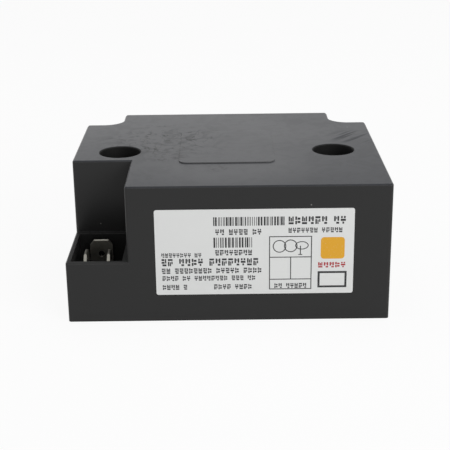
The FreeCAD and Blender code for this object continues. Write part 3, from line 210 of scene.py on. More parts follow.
def case_plastic(settings):
    """Glass-filled polyamide from a spark-eroded mould: near black and satin, its fine skin
    scatters most of the mirror image, so it is dark from the front and pale at a low angle. The
    melt left wisps and folds round the raised field, and handling left a few scuffs and dust."""
    material, tree, shader = new_material("Satin moulded polyamide")
    mark_size = settings.mark_size / MM
    place = place_in_mm(tree)
    height = add_node(tree, "SeparateXYZ", {"Vector": place}, "Z")
    flat = add_node(tree, "NewGeometry", output="Normal")
    level = add_node(tree, "SeparateXYZ", {"Vector": flat}, "Z")

    def on_skin(x, y, inner, outer):
        """A round spot on the top."""
        return near(tree, place, (x, y, SPOT_HEIGHT), inner, outer)

    # eroded grain: the real one is under 0.1 mm wide, and is drawn 0.35 mm wide so that it shows
    grain = add_node(tree, "TexNoise", {"Vector": place, "Scale": 1 / 0.35, "Detail": 3.0})

    # the flow marks are on the top alone, where two streams of melt met: dense at the left of the
    # raised field and thin elsewhere
    on_top = add_node(tree, "MapRange", {
        "Value": height, "From Min": CASE_TOP - 0.5, "From Max": CASE_TOP - 0.1})
    beside_field = on_skin(-18, 6, 7, 22)
    # wisps: cloudy patches
    wisps = add_node(tree, "TexNoise", {
        "Vector": place, "Scale": 1 / mark_size, "Detail": 3.0, "Distortion": 2.2})
    dense = add_node(tree, "MapRange", {"Value": beside_field, "To Min": 0.25})
    dense = add_node(tree, "Math", {0: dense, 1: on_top}, operation="MULTIPLY")
    wisp = add_node(tree, "MapRange", {
        "Value": wisps, "From Min": 0.44, "From Max": 0.62, "To Max": dense},
        interpolation_type="SMOOTHSTEP")
    # folds: soft lines about 0.4 mm wide between patches that are a little larger
    folds = add_node(tree, "TexNoise", {
        "Vector": place, "Scale": 1 / (mark_size * 1.4), "Detail": 1.6, "Distortion": 2.4})
    dense = add_node(tree, "MapRange", {"Value": beside_field, "To Min": 0.12})
    dense = add_node(tree, "Math", {0: dense, 1: on_top}, operation="MULTIPLY")
    fold = add_node(tree, "MapRange", {
        "Value": apart(tree, folds, 0.5), "From Min": 0.003, "From Max": 0.020,
        "To Min": dense, "To Max": 0.0}, interpolation_type="SMOOTHSTEP")

    # flakes of mould release: torn spots about 2 mm wide at two corners of the field
    torn = add_node(tree, "TexNoise", {
        "Vector": place, "Scale": 1 / 1.8, "Detail": 5.0, "Distortion": 0.8})
    corners = add_node(tree, "Math", {0: on_skin(-16, -11, 2, 7), 1: on_skin(-2, -21.5, 1, 5)},
                       operation="MAXIMUM")
    flake = add_node(tree, "MapRange", {
        "Value": torn, "From Min": 0.52, "From Max": 0.58, "To Max": corners})

    # scuffs at the back right: parallel lines 2 mm apart that run outwards and back
    along = add_node(tree, "Mapping", {
        "Vector": place, "Rotation": (0, 0, math.radians(48)), "Scale": (25, 1.7, 1)},
        vector_type="TEXTURE")
    lines = add_node(tree, "TexNoise", {"Vector": along, "Scale": 1.0})
    scuff = add_node(tree, "MapRange", {
        "Value": lines, "From Min": 0.52, "From Max": 0.62, "To Max": on_skin(37, 8, 3, 9)})

    # dust: single specks, and one in some cells of 14 mm
    cells = add_node(tree, "TexVoronoi", {"Vector": place, "Scale": 1 / 14})
    dust = add_node(tree, "MapRange", {
        "Value": cells, "From Min": 0.007, "From Max": 0.013, "To Min": 0.6, "To Max": 0.0})
    for speck in SPECKS:
        dust = add_node(tree, "Math", {0: dust, 1: near(tree, place, speck, 0.10, 0.25)},
                        operation="MAXIMUM")

    # painted shade: the insides of the two screw wells are painted near black and made rougher, out
    # to a little beyond their radius
    plan = add_node(tree, "VectorMath", {0: place, 1: (1, 1, 0)}, operation="MULTIPLY")
    well_shade_reach = SCREW_WELL_RADIUS + 0.15
    left_well, right_well = (near(tree, plan, (x, y, 0), well_shade_reach, well_shade_reach + 0.15)
                             for x, y in SCREW_WELLS)
    painted_well_shade = add_node(tree, "Math", {0: left_well, 1: right_well}, operation="MAXIMUM")

    # the flat rim of the terminal well is darker and duller
    flat_share = add_node(tree, "MapRange", {"Value": level, "From Min": 0.5, "From Max": 0.9})
    rim = add_node(tree, "MapRange", {
        "Value": apart(tree, height, TERMINAL_RIM), "From Min": 0.2, "From Max": 0.4,
        "To Min": flat_share, "To Max": 0.0})

    # painted light: the walls of the low step round the raised field are painted pale, so that the
    # step shows as a thin line
    steep_share = add_node(tree, "MapRange", {"Value": level, "From Min": 0.5, "From Max": 0.2})
    step = add_node(tree, "MapRange", {
        "Value": height, "From Min": CASE_TOP + 0.01, "From Max": CASE_TOP + 0.04,
        "To Max": steep_share})

    # a painted highlight, light and patchy, on the upright corners, where the rounded normal leaves
    # the flat one
    rounded = add_node(tree, "Bevel", {"Radius": settings.edge_softness}, samples=6)
    match = add_node(tree, "VectorMath", {0: rounded, 1: flat}, "Value", operation="DOT_PRODUCT")
    tilt = add_node(tree, "SeparateXYZ", {"Vector": rounded}, "Z")
    upright = add_node(tree, "MapRange", {
        "Value": tilt, "From Min": 0.15, "From Max": 0.5, "To Min": 1.0, "To Max": 0.1})
    patchy = add_node(tree, "MapRange", {
        "Value": wisps, "From Min": 0.35, "From Max": 0.65, "To Min": 0.5})
    patchy = add_node(tree, "Math", {0: patchy, 1: upright}, operation="MULTIPLY")
    painted_edge_highlight = add_node(tree, "MapRange", {
        "Value": match, "From Min": 0.98, "From Max": 0.80, "To Max": patchy})

    # painted shade in the creases, such as the foot of the raised field, where near walls hide the
    # room
    open_sky = add_node(tree, "AmbientOcclusion", {"Distance": 0.20 * MM}, "AO", samples=8)
    painted_crease_shade = add_node(tree, "MapRange", {
        "Value": open_sky, "From Min": 0.60, "From Max": 0.95, "To Min": 1.0, "To Max": 0.0})

    # the top is painted a colder tone, a painted tint of the reflection that it shows, and the
    # marks lie over that. The upright edges get a painted highlight, the step's walls painted
    # light, and the creases and screw wells painted shade
    tone = settings.colour
    for mark, colour in ((on_top, "#27292e"), (wisp, "#393a3c"), (flake, "#3b3b3d"),
                         (fold, "#1d1d1e"), (rim, "#1c1c1c"), (painted_edge_highlight, "#7e7e7c"),
                         (painted_crease_shade, "#1f1f1f"), (step, "#606060"), (painted_well_shade, "#0e0e0e"),
                         (dust, "#7d7c79")):
        tone = add_node(tree, "Mix", {"Factor": mark, FIRST: tone, SECOND: linear(colour)}, MIXED,
                        data_type="RGBA")

    # the skin is duller towards the gate at the front right, and shines round the field and
    # before it
    dull = add_node(tree, "VectorMath", {0: place, 1: (0.013, -0.020, 0)}, "Value",
                    operation="DOT_PRODUCT")
    clouds = add_node(tree, "TexNoise", {"Vector": place, "Scale": 1 / 30, "Detail": 0.0})
    for part, share in ((clouds, 1.0), (on_skin(3, -25, 5, 26), -1.0),
                        (on_skin(2, 0, 14, 40), -0.8)):
        dull = add_node(tree, "Math", {0: part, 1: share, 2: dull}, operation="MULTIPLY_ADD")
    gloss = add_node(tree, "MapRange", {
        "Value": dull, "From Min": -0.4, "From Max": 1.6, "To Min": 0.285, "To Max": 0.42})
    for mark, share in ((wisp, 0.15), (fold, 0.10), (scuff, 0.22), (flake, 0.15),
                        (painted_crease_shade, 0.08), (painted_well_shade, 0.35), (rim, 0.30)):
        gloss = add_node(tree, "Math", {0: mark, 1: share, 2: gloss}, operation="MULTIPLY_ADD")

    # grain 0.008 mm high, with the folds 0.005 mm deep in it
    skin = add_node(tree, "Math", {0: fold, 1: -0.6, 2: grain}, operation="MULTIPLY_ADD")
    feed(tree, shader, {
        "Base Color": tone, "Roughness": gloss, "IOR": 1.53, "Specular IOR Level": 0.20,
        "Normal": add_node(tree, "Bump", {
            "Height": skin, "Distance": 0.008 * MM, "Normal": rounded})})
    return material


def potting_compound():
    """Cast epoxy: black, glossy, a little wavy where it shrank, with pinholes from air."""
    material, tree, shader = new_material("Cast epoxy")
    place = place_in_mm(tree)
    # waves 11 mm wide and 0.12 mm high, and a pinhole in each cell of 4 mm
    waves = add_node(tree, "TexNoise", {"Vector": place, "Scale": 1 / 11, "Detail": 1.0})
    cells = add_node(tree, "TexVoronoi", {"Vector": place, "Scale": 1 / 4})
    pinhole = add_node(tree, "MapRange", {
        "Value": cells, "From Min": 0.05, "From Max": 0.11, "To Min": -0.4, "To Max": 0.0},
        interpolation_type="SMOOTHSTEP")
    skin = add_node(tree, "Math", {0: waves, 1: pinhole}, operation="ADD")
    patches = add_node(tree, "TexNoise", {"Vector": place, "Scale": 1 / 5})
    gloss = add_node(tree, "MapRange", {
        "Value": patches, "From Min": 0.3, "From Max": 0.7, "To Min": 0.10, "To Max": 0.24})
    feed(tree, shader, {
        "Base Color": linear("#111112"), "Roughness": gloss, "IOR": 1.55,
        "Normal": add_node(tree, "Bump", {"Height": skin, "Distance": 0.12 * MM})})
    return material


def label_film(colour):
    """Printed polyester film: cold white, a soft sheen, a faint ripple from the adhesive."""
    material, tree, shader = new_material("Printed polyester film")
    place = place_in_mm(tree)
    # clouds 6 mm wide, and a ripple 2.2 mm wide and 0.008 mm high
    clouds = add_node(tree, "TexNoise", {"Vector": place, "Scale": 1 / 6, "Detail": 4.0})
    ripple = add_node(tree, "TexNoise", {"Vector": place, "Scale": 1 / 2.2})
    tone = add_node(tree, "Mix", {"Factor": clouds, FIRST: colour, SECOND: linear("#dcdddc")},
                    MIXED, data_type="RGBA")
    feed(tree, shader, {
        "Base Color": tone, "Roughness": 0.36, "IOR": 1.50,
        "Normal": add_node(tree, "Bump", {"Height": ripple, "Distance": 0.008 * MM})})
    return material


def printing_ink(name, colour):
    """Thermal or screen ink: dull, with grey pinholes where the print missed."""
    material, tree, shader = new_material(name)
    # pinholes: real ones are under 0.1 mm, and are drawn about 0.35 mm wide so that they show
    film = add_node(tree, "TexNoise", {"Vector": place_in_mm(tree), "Scale": 1 / 0.35})
    missed = add_node(tree, "MapRange", {
        "Value": film, "From Min": 0.62, "From Max": 0.76, "To Max": 0.22})
    tone = add_node(tree, "Mix", {"Factor": missed, FIRST: colour, SECOND: linear("#cfcfcd")},
                    MIXED, data_type="RGBA")
    feed(tree, shader, {"Base Color": tone, "Roughness": 0.55, "IOR": 1.50})
    return material


def tinned_brass():
    """Stamped tab with tin plating: warm grey metal, painted darker than bare tin as painted shade
    for the dark well round it, faint rolling lines along the blade, edges rolled over by the punch
    so that they catch a thin line of light."""
    material, tree, shader = new_material("Tin-plated stamped brass")
    # rolling lines: about 0.15 mm apart and 5 mm long; blotches 2.4 mm wide
    rolled = add_node(tree, "TexNoise", {
        "Vector": place_in_mm(tree, (7, 7, 0.2)), "Scale": 1.0, "Detail": 1.0})
    blotch = add_node(tree, "TexNoise", {
        "Vector": place_in_mm(tree), "Scale": 1 / 2.4, "Detail": 3.0})
    # painted shade: both tones are darker than bare tin
    tone = add_node(tree, "Mix", {
        "Factor": blotch, FIRST: linear("#7b7972"), SECOND: linear("#9c9a92")},
        MIXED, data_type="RGBA")
    gloss = add_node(tree, "MapRange", {
        "Value": rolled, "From Min": 0.3, "From Max": 0.7, "To Min": 0.34, "To Max": 0.42})
    rounded = add_node(tree, "Bevel", {"Radius": 0.10 * MM}, samples=6)
    feed(tree, shader, {
        "Base Color": tone, "Metallic": 1.0, "Roughness": gloss,
        "Normal": add_node(tree, "Bump", {
            "Height": rolled, "Distance": 0.001 * MM, "Normal": rounded})})
    return material


def turned_brass():
    """Pin turned from brass bar: warm yellow, fine rings from the tool across its length."""
    material, tree, shader = new_material("Turned brass")
    # tool rings 0.1 mm apart along the pin, tarnish in blotches 2.5 mm wide
    rings = add_node(tree, "TexNoise", {
        "Vector": place_in_mm(tree, (0.02, 10, 0.02)), "Scale": 1.0, "Detail": 1.0})
    tarnish = add_node(tree, "TexNoise", {
        "Vector": place_in_mm(tree), "Scale": 1 / 2.5, "Detail": 3.0})
    tone = add_node(tree, "Mix", {
        "Factor": tarnish, FIRST: linear("#c8a552"), SECOND: linear("#e2c57c")},
        MIXED, data_type="RGBA")
    gloss = add_node(tree, "MapRange", {
        "Value": rings, "From Min": 0.3, "From Max": 0.7, "To Min": 0.16, "To Max": 0.26})
    feed(tree, shader, {
        "Base Color": tone, "Metallic": 1.0, "Roughness": gloss,
        "Normal": add_node(tree, "Bump", {"Height": rings, "Distance": 0.003 * MM})})
    return material


def board_laminate():
    """Glass-epoxy laminate: olive, the cloth's weave showing through the resin skin."""
    material, tree, shader = new_material("Glass-epoxy laminate")
    place = place_in_mm(tree)
    # yarns 0.5 mm apart both ways; a wave texture of scale 1 repeats every 0.314 mm
    warp, weft = (add_node(tree, "TexWave", {"Vector": place, "Scale": 0.62, "Distortion": 0.6},
                           "Fac", bands_direction=direction) for direction in "XY")
    weave = add_node(tree, "Math", {0: warp, 1: weft}, operation="MULTIPLY")
    tone = add_node(tree, "Mix", {
        "Factor": weave, FIRST: linear("#66763a"), SECOND: linear("#83925a")},
        MIXED, data_type="RGBA")
    feed(tree, shader, {
        "Base Color": tone, "Roughness": 0.35, "IOR": 1.55,
        "Normal": add_node(tree, "Bump", {"Height": weave, "Distance": 0.01 * MM})})
    return material


def plain_moulding(name, first, second, roughness, spot=0.4, depth=0.006, ior=1.55):
    """A small moulding, dip or sintered body: two close tones in spots, and a roughness and a
    relief that follow them. Spot and depth are millimetres; real spots are finer, and are drawn
    this wide so that they show."""
    material, tree, shader = new_material(name)
    pattern = add_node(tree, "TexNoise", {
        "Vector": place_in_mm(tree), "Scale": 1 / spot, "Detail": 3.0})
    tone = add_node(tree, "Mix", {
        "Factor": pattern, FIRST: linear(first), SECOND: linear(second)},
        MIXED, data_type="RGBA")
    gloss = add_node(tree, "MapRange", {
        "Value": pattern, "From Min": 0.3, "From Max": 0.7,
        "To Min": roughness - 0.06, "To Max": roughness + 0.06})
    feed(tree, shader, {
        "Base Color": tone, "Roughness": gloss, "IOR": ior,
        "Normal": add_node(tree, "Bump", {"Height": pattern, "Distance": depth * MM})})
    return material


def copper_wire():
    """Enamelled winding wire: reddish metal in turns that lie side by side across X."""
    material, tree, shader = new_material("Enamelled copper wire")
    # one turn each 0.2 mm; a wave texture of scale 1 repeats every 0.314 mm
    turns = add_node(tree, "TexWave", {
        "Vector": place_in_mm(tree), "Scale": 1.57, "Distortion": 0.3}, "Fac")
    tone = add_node(tree, "Mix", {
        "Factor": turns, FIRST: linear("#7d3417"), SECOND: linear("#c9683a")},
        MIXED, data_type="RGBA")
    feed(tree, shader, {
        "Base Color": tone, "Metallic": 1.0, "Roughness": 0.28,
        "Normal": add_node(tree, "Bump", {"Height": turns, "Distance": 0.05 * MM})})
    return material


def extruded_aluminium():
    """Mill-finish extrusion: pale metal with die lines that run up the fins."""
    material, tree, shader = new_material("Extruded aluminium")
    # die lines about 0.17 mm apart and 12 mm long
    lines = add_node(tree, "TexNoise", {"Vector": place_in_mm(tree, (6, 6, 0.08)), "Scale": 1.0})
    gloss = add_node(tree, "MapRange", {
        "Value": lines, "From Min": 0.3, "From Max": 0.7, "To Min": 0.30, "To Max": 0.46})
    feed(tree, shader, {
        "Base Color": linear("#d4d5d6"), "Metallic": 1.0, "Roughness": gloss,
        "Normal": add_node(tree, "Bump", {"Height": lines, "Distance": 0.006 * MM})})
    return material


def plated_steel():
    """Zinc plate over steel: bluish bright metal with a crystalline mottle."""
    material, tree, shader = new_material("Zinc-plated steel")
    # crystals of the plating: real ones are under 0.1 mm, and are drawn 0.5 mm wide so that they
    # show
    mottle = add_node(tree, "TexNoise", {
        "Vector": place_in_mm(tree), "Scale": 1 / 0.5, "Detail": 4.0})
    tone = add_node(tree, "Mix", {
        "Factor": mottle, FIRST: linear("#b3b7bc"), SECOND: linear("#d3d5d8")},
        MIXED, data_type="RGBA")
    gloss = add_node(tree, "MapRange", {
        "Value": mottle, "From Min": 0.3, "From Max": 0.7, "To Min": 0.29, "To Max": 0.40})
    feed(tree, shader, {
        "Base Color": tone, "Metallic": 1.0, "Roughness": gloss,
        "Normal": add_node(tree, "Bump", {"Height": mottle, "Distance": 0.003 * MM})})
    return material


# Pieces

def dress(finishes):
    """Give the CAD nodes of each slot named here that slot's finish."""
    for slot, material in finishes.items():
        entries = [entry for entry in frame["record"]["subparts"] if entry["material_slot"] == slot]
        if not entries:
            raise ValueError(f"no node has the slot {slot}")
        for entry in entries:
            node = frame["nodes"][entry["node"]]
            node.data.materials.clear()
            node.data.materials.append(material)


def new_piece(name, mesh_builder, material):
    """Turn a finished bmesh into a piece that rides on the one body, with its slot."""
    mesh = bpy.data.meshes.new(name)
    bmesh.ops.recalc_face_normals(mesh_builder, faces=mesh_builder.faces)
    mesh_builder.to_mesh(mesh)
    mesh_builder.free()
    mesh.materials.append(material)
    piece = bpy.data.objects.new(name, mesh)
    bpy.context.scene.collection.objects.link(piece)
    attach(piece, "root")


def new_print(low, high, ink_height):
    """An ink on the label face: a mesh, and a function that raises an outline in it. Its points
    are millimetres across and down from the label's upper left corner."""
    builder = bmesh.new()

    def raise_outline(points):
        back = [builder.verts.new((low.x + x * MM, low.y, high.z - z * MM)) for x, z in points]
        front = [builder.verts.new((v.co.x, v.co.y - ink_height, v.co.z)) for v in back]
        count = len(points)
        builder.faces.new(front)
        for n in range(count):
            after = (n + 1) % count
            builder.faces.new((back[n], back[after], front[after], front[n]))

    return builder, raise_outline


def bar(left, top, width, height):
    """The outline of an upright rectangle."""
    return [(left, top), (left + width, top), (left + width, top + height), (left, top + height)]


# Generic marks: each is a few bars in a cell one wide and one high, given as left, top, width and
# height
MARKS = (
    ((0, 0, 0.34, 0.44), (0, 0.56, 0.34, 0.44), (0.44, 0.14, 0.56, 0.28), (0.44, 0.58, 0.56, 0.28)),
    ((0, 0.36, 1, 0.28), (0.34, 0.72, 0.34, 0.28), (0.04, 0, 0.34, 0.28), (0.62, 0, 0.34, 0.28)),
    ((0, 0, 0.34, 0.66), (0.44, 0.74, 0.56, 0.26), (0.66, 0, 0.34, 0.62), (0.42, 0.1, 0.16, 0.3)),
    ((0.70, 0, 0.30, 0.62), (0, 0, 0.6, 0.26), (0, 0.38, 0.6, 0.26), (0.16, 0.74, 0.84, 0.26)),
    ((0, 0, 1, 0.26), (0, 0.36, 0.32, 0.64), (0.42, 0.44, 0.22, 0.56), (0.74, 0.36, 0.26, 0.36)),
    ((0, 0.74, 1, 0.26), (0, 0, 0.32, 0.64), (0.40, 0.16, 0.26, 0.48), (0.74, 0, 0.26, 0.64)),
)


def print_row(raise_outline, dice, left, right, middle, height, width=0.62):
    """A row of generic marks in groups, with a gap after each group."""
    step = height * width * 1.32
    top = middle - height / 2
    x = left
    while x < right - step:
        for _ in range(dice.randint(2, 9)):
            if x > right - step:
                break
            for bar_left, bar_top, bar_width, bar_height in dice.choice(MARKS):
                raise_outline(bar(x + bar_left * height * width, top + bar_top * height,
                                  bar_width * height * width, bar_height * height))
            x += step
        x += step * 0.8


def print_stripes(raise_outline, dice, left, right, top, height):
    """Upright stripes, uneven in width and spacing."""
    x = left
    while x < right:
        width = dice.choice((0.16, 0.16, 0.30, 0.45))
        raise_outline(bar(x, top, width, height))
        x += width + dice.choice((0.16, 0.26, 0.36))


def print_frame(raise_outline, left, top, width, height, stroke):
    """An open frame of ruled lines."""
    raise_outline(bar(left, top, width, stroke))
    raise_outline(bar(left, top + height - stroke, width, stroke))
    raise_outline(bar(left, top + stroke, stroke, height - stroke * 2))
    raise_outline(bar(left + width - stroke, top + stroke, stroke, height - stroke * 2))


def print_ring(raise_outline, x, z, radius_x, radius_z, stroke, steps=32):
    """A round or oval line, in short pieces that meet."""
    for n in range(steps):
        angles = [2 * math.pi * step / steps for step in (n, n + 1)]
        outer = [(x + radius_x * math.cos(a), z + radius_z * math.sin(a)) for a in angles]
        inner = [(x + (radius_x - stroke) * math.cos(a), z + (radius_z - stroke) * math.sin(a))
                 for a in reversed(angles)]
        raise_outline(outer + inner)


def print_rounded(raise_outline, left, top, width, height, radius, steps=6):
    """A filled field with rounded corners."""
    points = []
    for quarter, (x, z) in enumerate((
            (left + width - radius, top + height - radius), (left + radius, top + height - radius),
            (left + radius, top + radius), (left + width - radius, top + radius))):
        for step in range(steps + 1):
            angle = math.pi / 2 * (quarter + step / steps)
            points.append((x + radius * math.cos(angle), z + radius * math.sin(angle)))
    raise_outline(points)


# Operators

class OBJECT_OT_finish_case(bpy.types.Operator):
    """Give the moulded housing its skin"""

    bl_idname = "object.finish_case"
    bl_label = "Finish the case"

    def execute(self, context):
        dress({"case_plastic": case_plastic(context.scene.transformer_case)})
        return {"FINISHED"}


class OBJECT_OT_pour_resin(bpy.types.Operator):
    """Give the filling its cast surface"""

    bl_idname = "object.pour_resin"
    bl_label = "Pour the resin"

    def execute(self, context):
        dress({"potting_compound": potting_compound()})
        return {"FINISHED"}


class OBJECT_OT_plate_terminals(bpy.types.Operator):
    """Finish the blades in the well and the pins in the sockets"""

    bl_idname = "object.plate_terminals"
    bl_label = "Plate the terminals"

    def execute(self, context):
        dress({"tinned_brass": tinned_brass(), "turned_brass": turned_brass()})
        return {"FINISHED"}


class OBJECT_OT_fit_circuit(bpy.types.Operator):
    """Finish the circuit board and the parts on it and beside it"""

    bl_idname = "object.fit_circuit"
    bl_label = "Fit the circuit"

    def execute(self, context):
        dress({
            "board_laminate": board_laminate(),
            "heat_sink_aluminium": extruded_aluminium(),
            "plated_steel": plated_steel(),
            # transfer-moulded epoxy: matt black with a fine eroded skin
            "black_moulding": plain_moulding("Moulded epoxy", "#1b1b1c", "#232324", 0.50),
            # dipped epoxy: blue, glossy, thick and uneven like orange peel
            "blue_coating": plain_moulding("Dipped blue epoxy", "#1f4f96", "#2a61ad", 0.20, 1.2,
                                           0.02),
            # filled polyester box: dull ochre with a fine skin
            "capacitor_box": plain_moulding("Moulded polyester box", "#c39b3a", "#cfa94a", 0.42),
            # lacquer over a ceramic body: beige, softly glossy
            "resistor_coating": plain_moulding("Dipped lacquer", "#c9b28a", "#d6c29e", 0.35, 0.8,
                                               0.01),
        })
        return {"FINISHED"}


class OBJECT_OT_wind_coils(bpy.types.Operator):
    """Finish the cores, bobbins, windings and leads"""

    bl_idname = "object.wind_coils"
    bl_label = "Wind the coils"

    def execute(self, context):
        dress({
            "copper_wire": copper_wire(),
            # pressed and sintered: dark grey, dull, with open pores
            "ferrite": plain_moulding("Sintered ferrite", "#2b2b2d", "#3d3d40", 0.62, 0.25, 0.02),
            # natural polyester: off-white and slightly waxy
            "bobbin_plastic": plain_moulding("Moulded polyester", "#d9d5c8", "#e4e1d6", 0.45, 0.6),
            # extruded silicone: brick red, soft sheen
            "wire_insulation": plain_moulding("Silicone rubber", "#9c2f24", "#ab3a2e", 0.48, 0.5,
                                              ior=1.43),
        })
        return {"FINISHED"}


class OBJECT_OT_print_label(bpy.types.Operator):
    """Finish the rating label and lay the generic black, amber and red print on it"""

    bl_idname = "object.print_label"
    bl_label = "Print the label"

    def execute(self, context):
        settings = context.scene.transformer_label
        dress({"label_film": label_film(settings.film)})
        low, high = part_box("rating_label")
        dice = random.Random(settings.seed)
        stroke = settings.stroke / MM

        black, raise_black = new_print(low, high, settings.ink_height)
        # places and sizes are millimetres; left half: stripes and rows, spaced as on such labels
        print_stripes(raise_black, dice, 15.2, 33.3, 2.1, 2.4)
        print_stripes(raise_black, dice, 15.2, 25.3, 7.7, 2.8)
        for left, right, middle, height in (
                (15.7, 28.9, 6.2, 1.55), (15.6, 25.9, 11.9, 1.5), (1.6, 12.6, 12.5, 1.2),
                (1.6, 28.4, 14.5, 2.0), (1.6, 28.9, 16.9, 1.5), (1.7, 26.6, 19.0, 1.35),
                (1.7, 9.3, 21.5, 1.4), (15.2, 25.9, 21.5, 1.4)):
            print_row(raise_black, dice, left, right, middle, height)
        # upper right: a large row over a small one
        print_row(raise_black, dice, 34.6, 50.2, 3.2, 2.1)
        print_row(raise_black, dice, 34.6, 49.6, 5.9, 1.35)
        # table with a transformer symbol: two windings that overlap, and an output
        print_frame(raise_black, 29.6, 7.5, 11.1, 14.9, stroke)
        raise_black(bar(29.6, 13.2, 11.1, stroke))
        raise_black(bar(29.6, 19.4, 11.1, stroke))
        raise_black(bar(35.1, 13.2, stroke, 6.2))
        print_ring(raise_black, 32.3, 10.3, 1.75, 1.75, stroke)
        print_ring(raise_black, 35.2, 10.2, 1.75, 1.75, stroke)
        print_ring(raise_black, 38.1, 10.1, 1.75, 1.15, stroke)
        raise_black(bar(37.6, 10.2, stroke, 2.4))
        raise_black(bar(37.2, 12.5, 1.0, stroke))
        print_row(raise_black, dice, 31.0, 40.0, 21.35, 1.35)
        # an empty field with a heavy border at the lower right
        print_frame(raise_black, 42.3, 17.4, 7.6, 4.6, 0.55)
        new_piece("label_print_black", black, printing_ink("Black printing ink", settings.black))

        amber, raise_amber = new_print(low, high, settings.ink_height)
        print_rounded(raise_amber, 43.0, 7.9, 6.2, 6.0, 0.9)
        new_piece("label_print_amber", amber, printing_ink("Amber printing ink", settings.amber))

        red, raise_red = new_print(low, high, settings.ink_height)
        print_row(raise_red, dice, 42.4, 50.9, 15.6, 1.5, width=0.75)
        new_piece("label_print_red", red, printing_ink("Red printing ink", settings.red))
        return {"FINISHED"}


class SCENE_OT_set_studio(bpy.types.Operator):
    """Set up the pale floor, the soft light and the photograph's camera"""

    bl_idname = "scene.set_studio"
    bl_label = "Set up the studio"

    def execute(self, context):
        settings = context.scene.transformer_studio
        make_floor()
        make_world(settings)
        low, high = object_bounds()
        middle = (low + high) / 2
        # each soft box: its place from the object's middle and its side in metres, and its power
        for name, offset, side, power in (
                ("top_soft_box", (0.05, 0.10, 0.60), 0.50, settings.top_light),
                ("front_soft_box", (0.50, -0.60, 0.35), 0.45, settings.front_light)):
            make_lamp(name, middle + Vector(offset), middle, side, power)
        make_camera(settings)
        context.scene.view_settings.view_transform = "Standard"
        return {"FINISHED"}


def shown_share(tree):
    """1 for what the camera, a reflection or a clear piece sees of the surroundings, else 0."""
    camera, glossy, clear = (add_node(tree, "LightPath", output=f"Is {ray} Ray")
                             for ray in ("Camera", "Glossy", "Transmission"))
    seen = add_node(tree, "Math", {0: camera, 1: glossy}, operation="MAXIMUM")
    return add_node(tree, "Math", {0: seen, 1: clear}, operation="MAXIMUM")


def make_floor():
    """A large pale sheet that keeps the object's soft shadow."""
    builder = bmesh.new()
    corners = ((-1, -1), (1, -1), (1, 1), (-1, 1))
    builder.faces.new([builder.verts.new((x * FLOOR_REACH, y * FLOOR_REACH, -FLOOR_GAP))
                       for x, y in corners])
    mesh = bpy.data.meshes.new("floor")
    builder.to_mesh(mesh)
    builder.free()
    floor = bpy.data.objects.new("floor", mesh)
    bpy.context.scene.collection.objects.link(floor)
    material, tree, shader = new_material("Matt paper")
    fibres = add_node(tree, "TexNoise", {"Vector": place_in_mm(tree), "Scale": 1 / 1.5})
    tone = add_node(tree, "Mix", {
        "Factor": fibres, FIRST: linear("#e8e8e8"), SECOND: linear("#ebebeb")},
        MIXED, data_type="RGBA")
    feed(tree, shader, {"Base Color": tone, "Roughness": 0.9, "IOR": 1.45})
    white = add_node(tree, "Emission", {"Color": WHITE, "Strength": 1.0})
    share = add_node(tree, "Math", {0: shown_share(tree), 1: FLOOR_WHITE}, operation="MULTIPLY")
    mixed = add_node(tree, "MixShader", {0: share, 1: shader.outputs[0], 2: white})
    feed(tree, tree.nodes["Material Output"], {"Surface": mixed})
    mesh.materials.append(material)
    floor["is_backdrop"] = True


def make_world(settings):
    """An even room: soft ambient light on the object, and white where it shows."""
    world = bpy.data.worlds.new("studio")
    bpy.context.scene.world = world
    world.use_nodes = True
    tree = world.node_tree
    ambient = tree.nodes["Background"]
    feed(tree, ambient, {"Color": WHITE, "Strength": settings.ambient})
    white = add_node(tree, "Background", {"Color": WHITE, "Strength": 1.0})
    mixed = add_node(tree, "MixShader", {0: shown_share(tree), 1: ambient.outputs[0], 2: white})
    feed(tree, tree.nodes["World Output"], {"Surface": mixed})


def make_lamp(name, place, target, side, power):
    """A square soft box that faces its target."""
    lamp = bpy.data.lights.new(name, "AREA")
    lamp.size = side
    lamp.energy = power
    holder = bpy.data.objects.new(name, lamp)
    holder.location = place
    holder.rotation_euler = (place - target).to_track_quat("Z", "Y").to_euler()
    bpy.context.scene.collection.objects.link(holder)


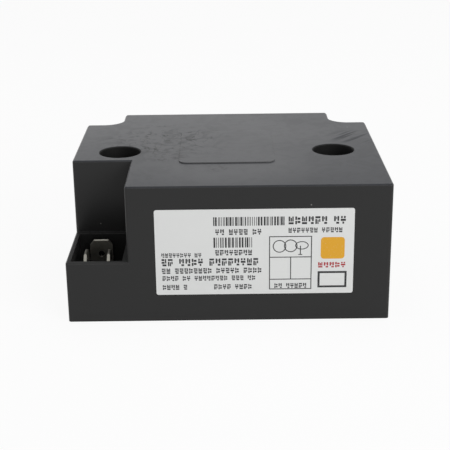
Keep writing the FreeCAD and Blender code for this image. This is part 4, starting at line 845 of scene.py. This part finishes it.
def make_camera(settings):
    """The camera, as fitted to the case's corners in the photograph."""
    tilt, roll, heading = settings.camera_turn
    turn = (Matrix.Rotation(heading, 4, "Z") @ Matrix.Rotation(tilt, 4, "X")
            @ Matrix.Rotation(roll, 4, "Y"))
    # the camera looks along its own -Z, where the fit looks along +Y
    upright = Matrix.Rotation(math.pi / 2, 4, "X")
    camera = bpy.data.cameras.new("photo_camera")
    camera.lens = settings.lens
    camera.sensor_width = settings.sensor
    camera.clip_start = 0.01
    camera.clip_end = 20.0
    holder = bpy.data.objects.new("photo_camera", camera)
    holder.matrix_world = Matrix.Translation(settings.camera_place) @ turn @ upright
    bpy.context.scene.collection.objects.link(holder)
    bpy.context.scene.camera = holder


class VIEW3D_PT_transformer(bpy.types.Panel):
    """Buttons and settings in the sidebar"""

    bl_idname = "VIEW3D_PT_transformer"
    bl_label = "Ignition transformer"
    bl_space_type = "VIEW_3D"
    bl_region_type = "UI"
    bl_category = "Transformer"

    def draw(self, context):
        layout = self.layout
        for group in GROUPS:
            settings = getattr(context.scene, group)
            column = layout.column()
            for name in settings.__annotations__:
                column.prop(settings, name)
        for operator in OPERATORS:
            layout.operator(operator.bl_idname)


GROUPS = {
    "transformer_case": CaseSettings,
    "transformer_label": LabelSettings,
    "transformer_studio": StudioSettings,
}
OPERATORS = (
    OBJECT_OT_finish_case,
    OBJECT_OT_pour_resin,
    OBJECT_OT_plate_terminals,
    OBJECT_OT_fit_circuit,
    OBJECT_OT_wind_coils,
    OBJECT_OT_print_label,
    SCENE_OT_set_studio,
)


def register():
    for kind in (*GROUPS.values(), *OPERATORS, VIEW3D_PT_transformer):
        bpy.utils.register_class(kind)
    for name, kind in GROUPS.items():
        setattr(bpy.types.Scene, name, bpy.props.PointerProperty(type=kind))


def unregister():
    for name in GROUPS:
        delattr(bpy.types.Scene, name)
    for kind in (VIEW3D_PT_transformer, *reversed(OPERATORS), *reversed(GROUPS.values())):
        bpy.utils.unregister_class(kind)


def main():
    register()
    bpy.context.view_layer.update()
    bpy.ops.object.finish_case()
    bpy.ops.object.pour_resin()
    bpy.ops.object.plate_terminals()
    bpy.ops.object.fit_circuit()
    bpy.ops.object.wind_coils()
    bpy.ops.object.print_label()
    bpy.ops.scene.set_studio()


if __name__ == "__main__":
    main()
